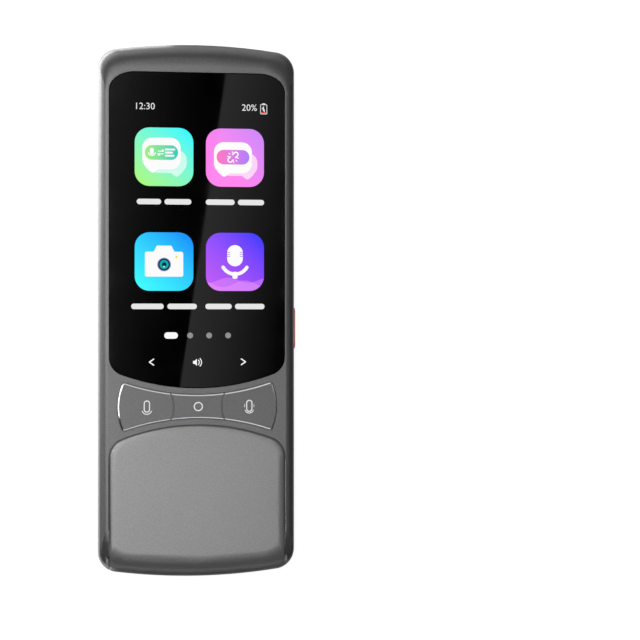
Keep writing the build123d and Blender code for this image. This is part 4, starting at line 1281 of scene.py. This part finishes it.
def soft_lights():
    """A box overhead with a plain fill, boxes and strips round the horizon, and a box under the floor."""
    soft_box("overhead_box", (-0.14, 0.08, 0.90), 0.56, 0.7, 2.8)
    soft_box("fill_box", (-0.16, 0.08, 0.95), 0.6, 0.6, 3.6, mirrored=False)
    soft_box("left_box", (-0.60, 0.10, 0.65), 0.2, 0.6, 0.2)
    soft_box("left_rim", (-0.60, 0.15, 0.05), 0.06, 0.6, 2.0)
    soft_box("left_strip", (-0.60, 0.12, 0.13), 0.6, 0.08, 2.2)
    soft_box("right_strip", (0.60, -0.03, 0.13), 0.5, 0.08, 0.6)
    soft_box("top_box", (-0.05, 0.70, 0.16), 1.3, 0.36, 0.6)
    soft_box("top_strip", (-0.34, 0.68, 0.15), 0.5, 0.10, 2.4)
    soft_box("bottom_strip", (0.0, -0.70, 0.15), 0.9, 0.10, 0.7)
    soft_box("under_box", (0.25, -0.25, -0.80), 0.5, 0.5, 8.0)


def mirrored_card(name, centre, width, length, brightness):
    """A level card that only glossy surfaces see; its radiance is a number or made by a function."""
    select()
    bpy.ops.mesh.primitive_plane_add(size=1.0, location=centre)
    card = seat(name, (width, length, 1.0))
    material = bpy.data.materials.new(name)
    recipe = Recipe(material)
    strength = brightness(recipe) if callable(brightness) else brightness
    recipe.show(recipe.node("ShaderNodeEmission", {}, {"Strength": strength}))
    card.data.materials.append(material)
    for ray in ("camera", "diffuse", "shadow", "transmission"):
        setattr(card, "visible_" + ray, False)


def glass_reflection(recipe):
    """What the cover glass mirrors: a slanted border, bright right of it and fading, dark left of it."""
    slant = math.radians(8.3)
    border_x, border_y = 0.0278, 0.0467
    across = (recipe.axis("X") - border_x) * math.cos(slant) - (recipe.axis("Y") - border_y) * math.sin(slant)
    right = recipe.spread(across, 0.0, 0.050, 0.58, 0.01) * (across > 0.0)
    left = recipe.spread(across, -0.005, -0.062, 0.0, 1.0) ** 1.6 * 0.30
    return right + left


def rim_brightness(recipe):
    """Bright beside the rim; further out only towards the top end."""
    rise = recipe.spread(recipe.axis("Y"), -0.09, 0.07)
    near = recipe.spread(recipe.axis("X"), CAD_BOX[0].x - 11 * MM, CAD_BOX[0].x - 8 * MM)
    return (rise * 5.0 + 4.0) * (near | rise * rise)


def mirrored_cards():
    """A dim panel over the glass, bright cards by the left rim, and dark ones by the right and lower rims."""
    low, high = CAD_BOX
    mirrored_card("glass_panel", (0.025, 0.043, SCREEN_LEVEL + CAMERA_HEIGHT), 0.100, 0.194, glass_reflection)
    mirrored_card("rim_card", (low.x - 15 * MM, 0.005, 0.5 * MM), 24 * MM, 0.21, rim_brightness)
    mirrored_card("corner_card", (low.x + 8 * MM, high.y + 12 * MM, 0.5 * MM), 24 * MM, 18 * MM, 7.0)
    mirrored_card("right_card", (high.x + 0.31, 0.0, 0.4 * MM), 0.60, 1.4, 0.03)
    mirrored_card("lower_card", (-0.1, low.y - 0.31, 0.4 * MM), 0.8, 0.60, 0.03)


def front_camera():
    """A long lens above the device, shifted left and turned a little, so that it stands left in the frame."""
    lens = bpy.data.cameras.new("front_camera")
    lens.lens = 90.0
    lens.sensor_width = 36.0
    lens.clip_start = 0.01
    lens.clip_end = 20.0
    holder = linked("front_camera", lens)
    holder.location = (*CAMERA_PLACE, SCREEN_LEVEL + CAMERA_HEIGHT)
    holder.rotation_euler = (0.0, CAMERA_TURN, 0.0)
    bpy.context.scene.camera = holder


# ---------------------------------------------------------------- panel and registration


class TRANSLATOR_PT_panel(bpy.types.Panel):
    """Lists the settings and the building steps"""

    bl_label = "Handheld translator"
    bl_idname = "TRANSLATOR_PT_panel"
    bl_space_type = "VIEW_3D"
    bl_region_type = "UI"
    bl_category = "Translator"

    def draw(self, context):
        for settings in (context.scene.translator_screen, context.scene.translator_keys,
                         context.scene.translator_finish):
            box = self.layout.box()
            for name in settings.bl_rna.properties.keys():
                if name not in {"rna_type", "name"}:
                    box.prop(settings, name)
        for step in STEPS:
            self.layout.operator(step.bl_idname)


STEPS = (
    TRANSLATOR_OT_packed_parts,
    TRANSLATOR_OT_shells,
    TRANSLATOR_OT_glass_border,
    TRANSLATOR_OT_seam_lines,
    TRANSLATOR_OT_tiles,
    TRANSLATOR_OT_glyphs,
    TRANSLATOR_OT_readings,
    TRANSLATOR_OT_key_prints,
    TRANSLATOR_OT_key_webs,
    TRANSLATOR_OT_camera,
    TRANSLATOR_OT_stage,
)
CLASSES = (ScreenSettings, KeySettings, FinishSettings, *STEPS, TRANSLATOR_PT_panel)


def register():
    for cls in CLASSES:
        bpy.utils.register_class(cls)
    bpy.types.Scene.translator_screen = PointerProperty(type=ScreenSettings)
    bpy.types.Scene.translator_keys = PointerProperty(type=KeySettings)
    bpy.types.Scene.translator_finish = PointerProperty(type=FinishSettings)


def unregister():
    del bpy.types.Scene.translator_finish
    del bpy.types.Scene.translator_keys
    del bpy.types.Scene.translator_screen
    for cls in reversed(CLASSES):
        bpy.utils.unregister_class(cls)


def main():
    """Builds everything in order."""
    register()
    bpy.context.scene.view_settings.view_transform = "Standard"
    for step in STEPS:
        group, name = step.bl_idname.split(".")
        getattr(getattr(bpy.ops, group), name)()


if __name__ == "__main__":
    main()
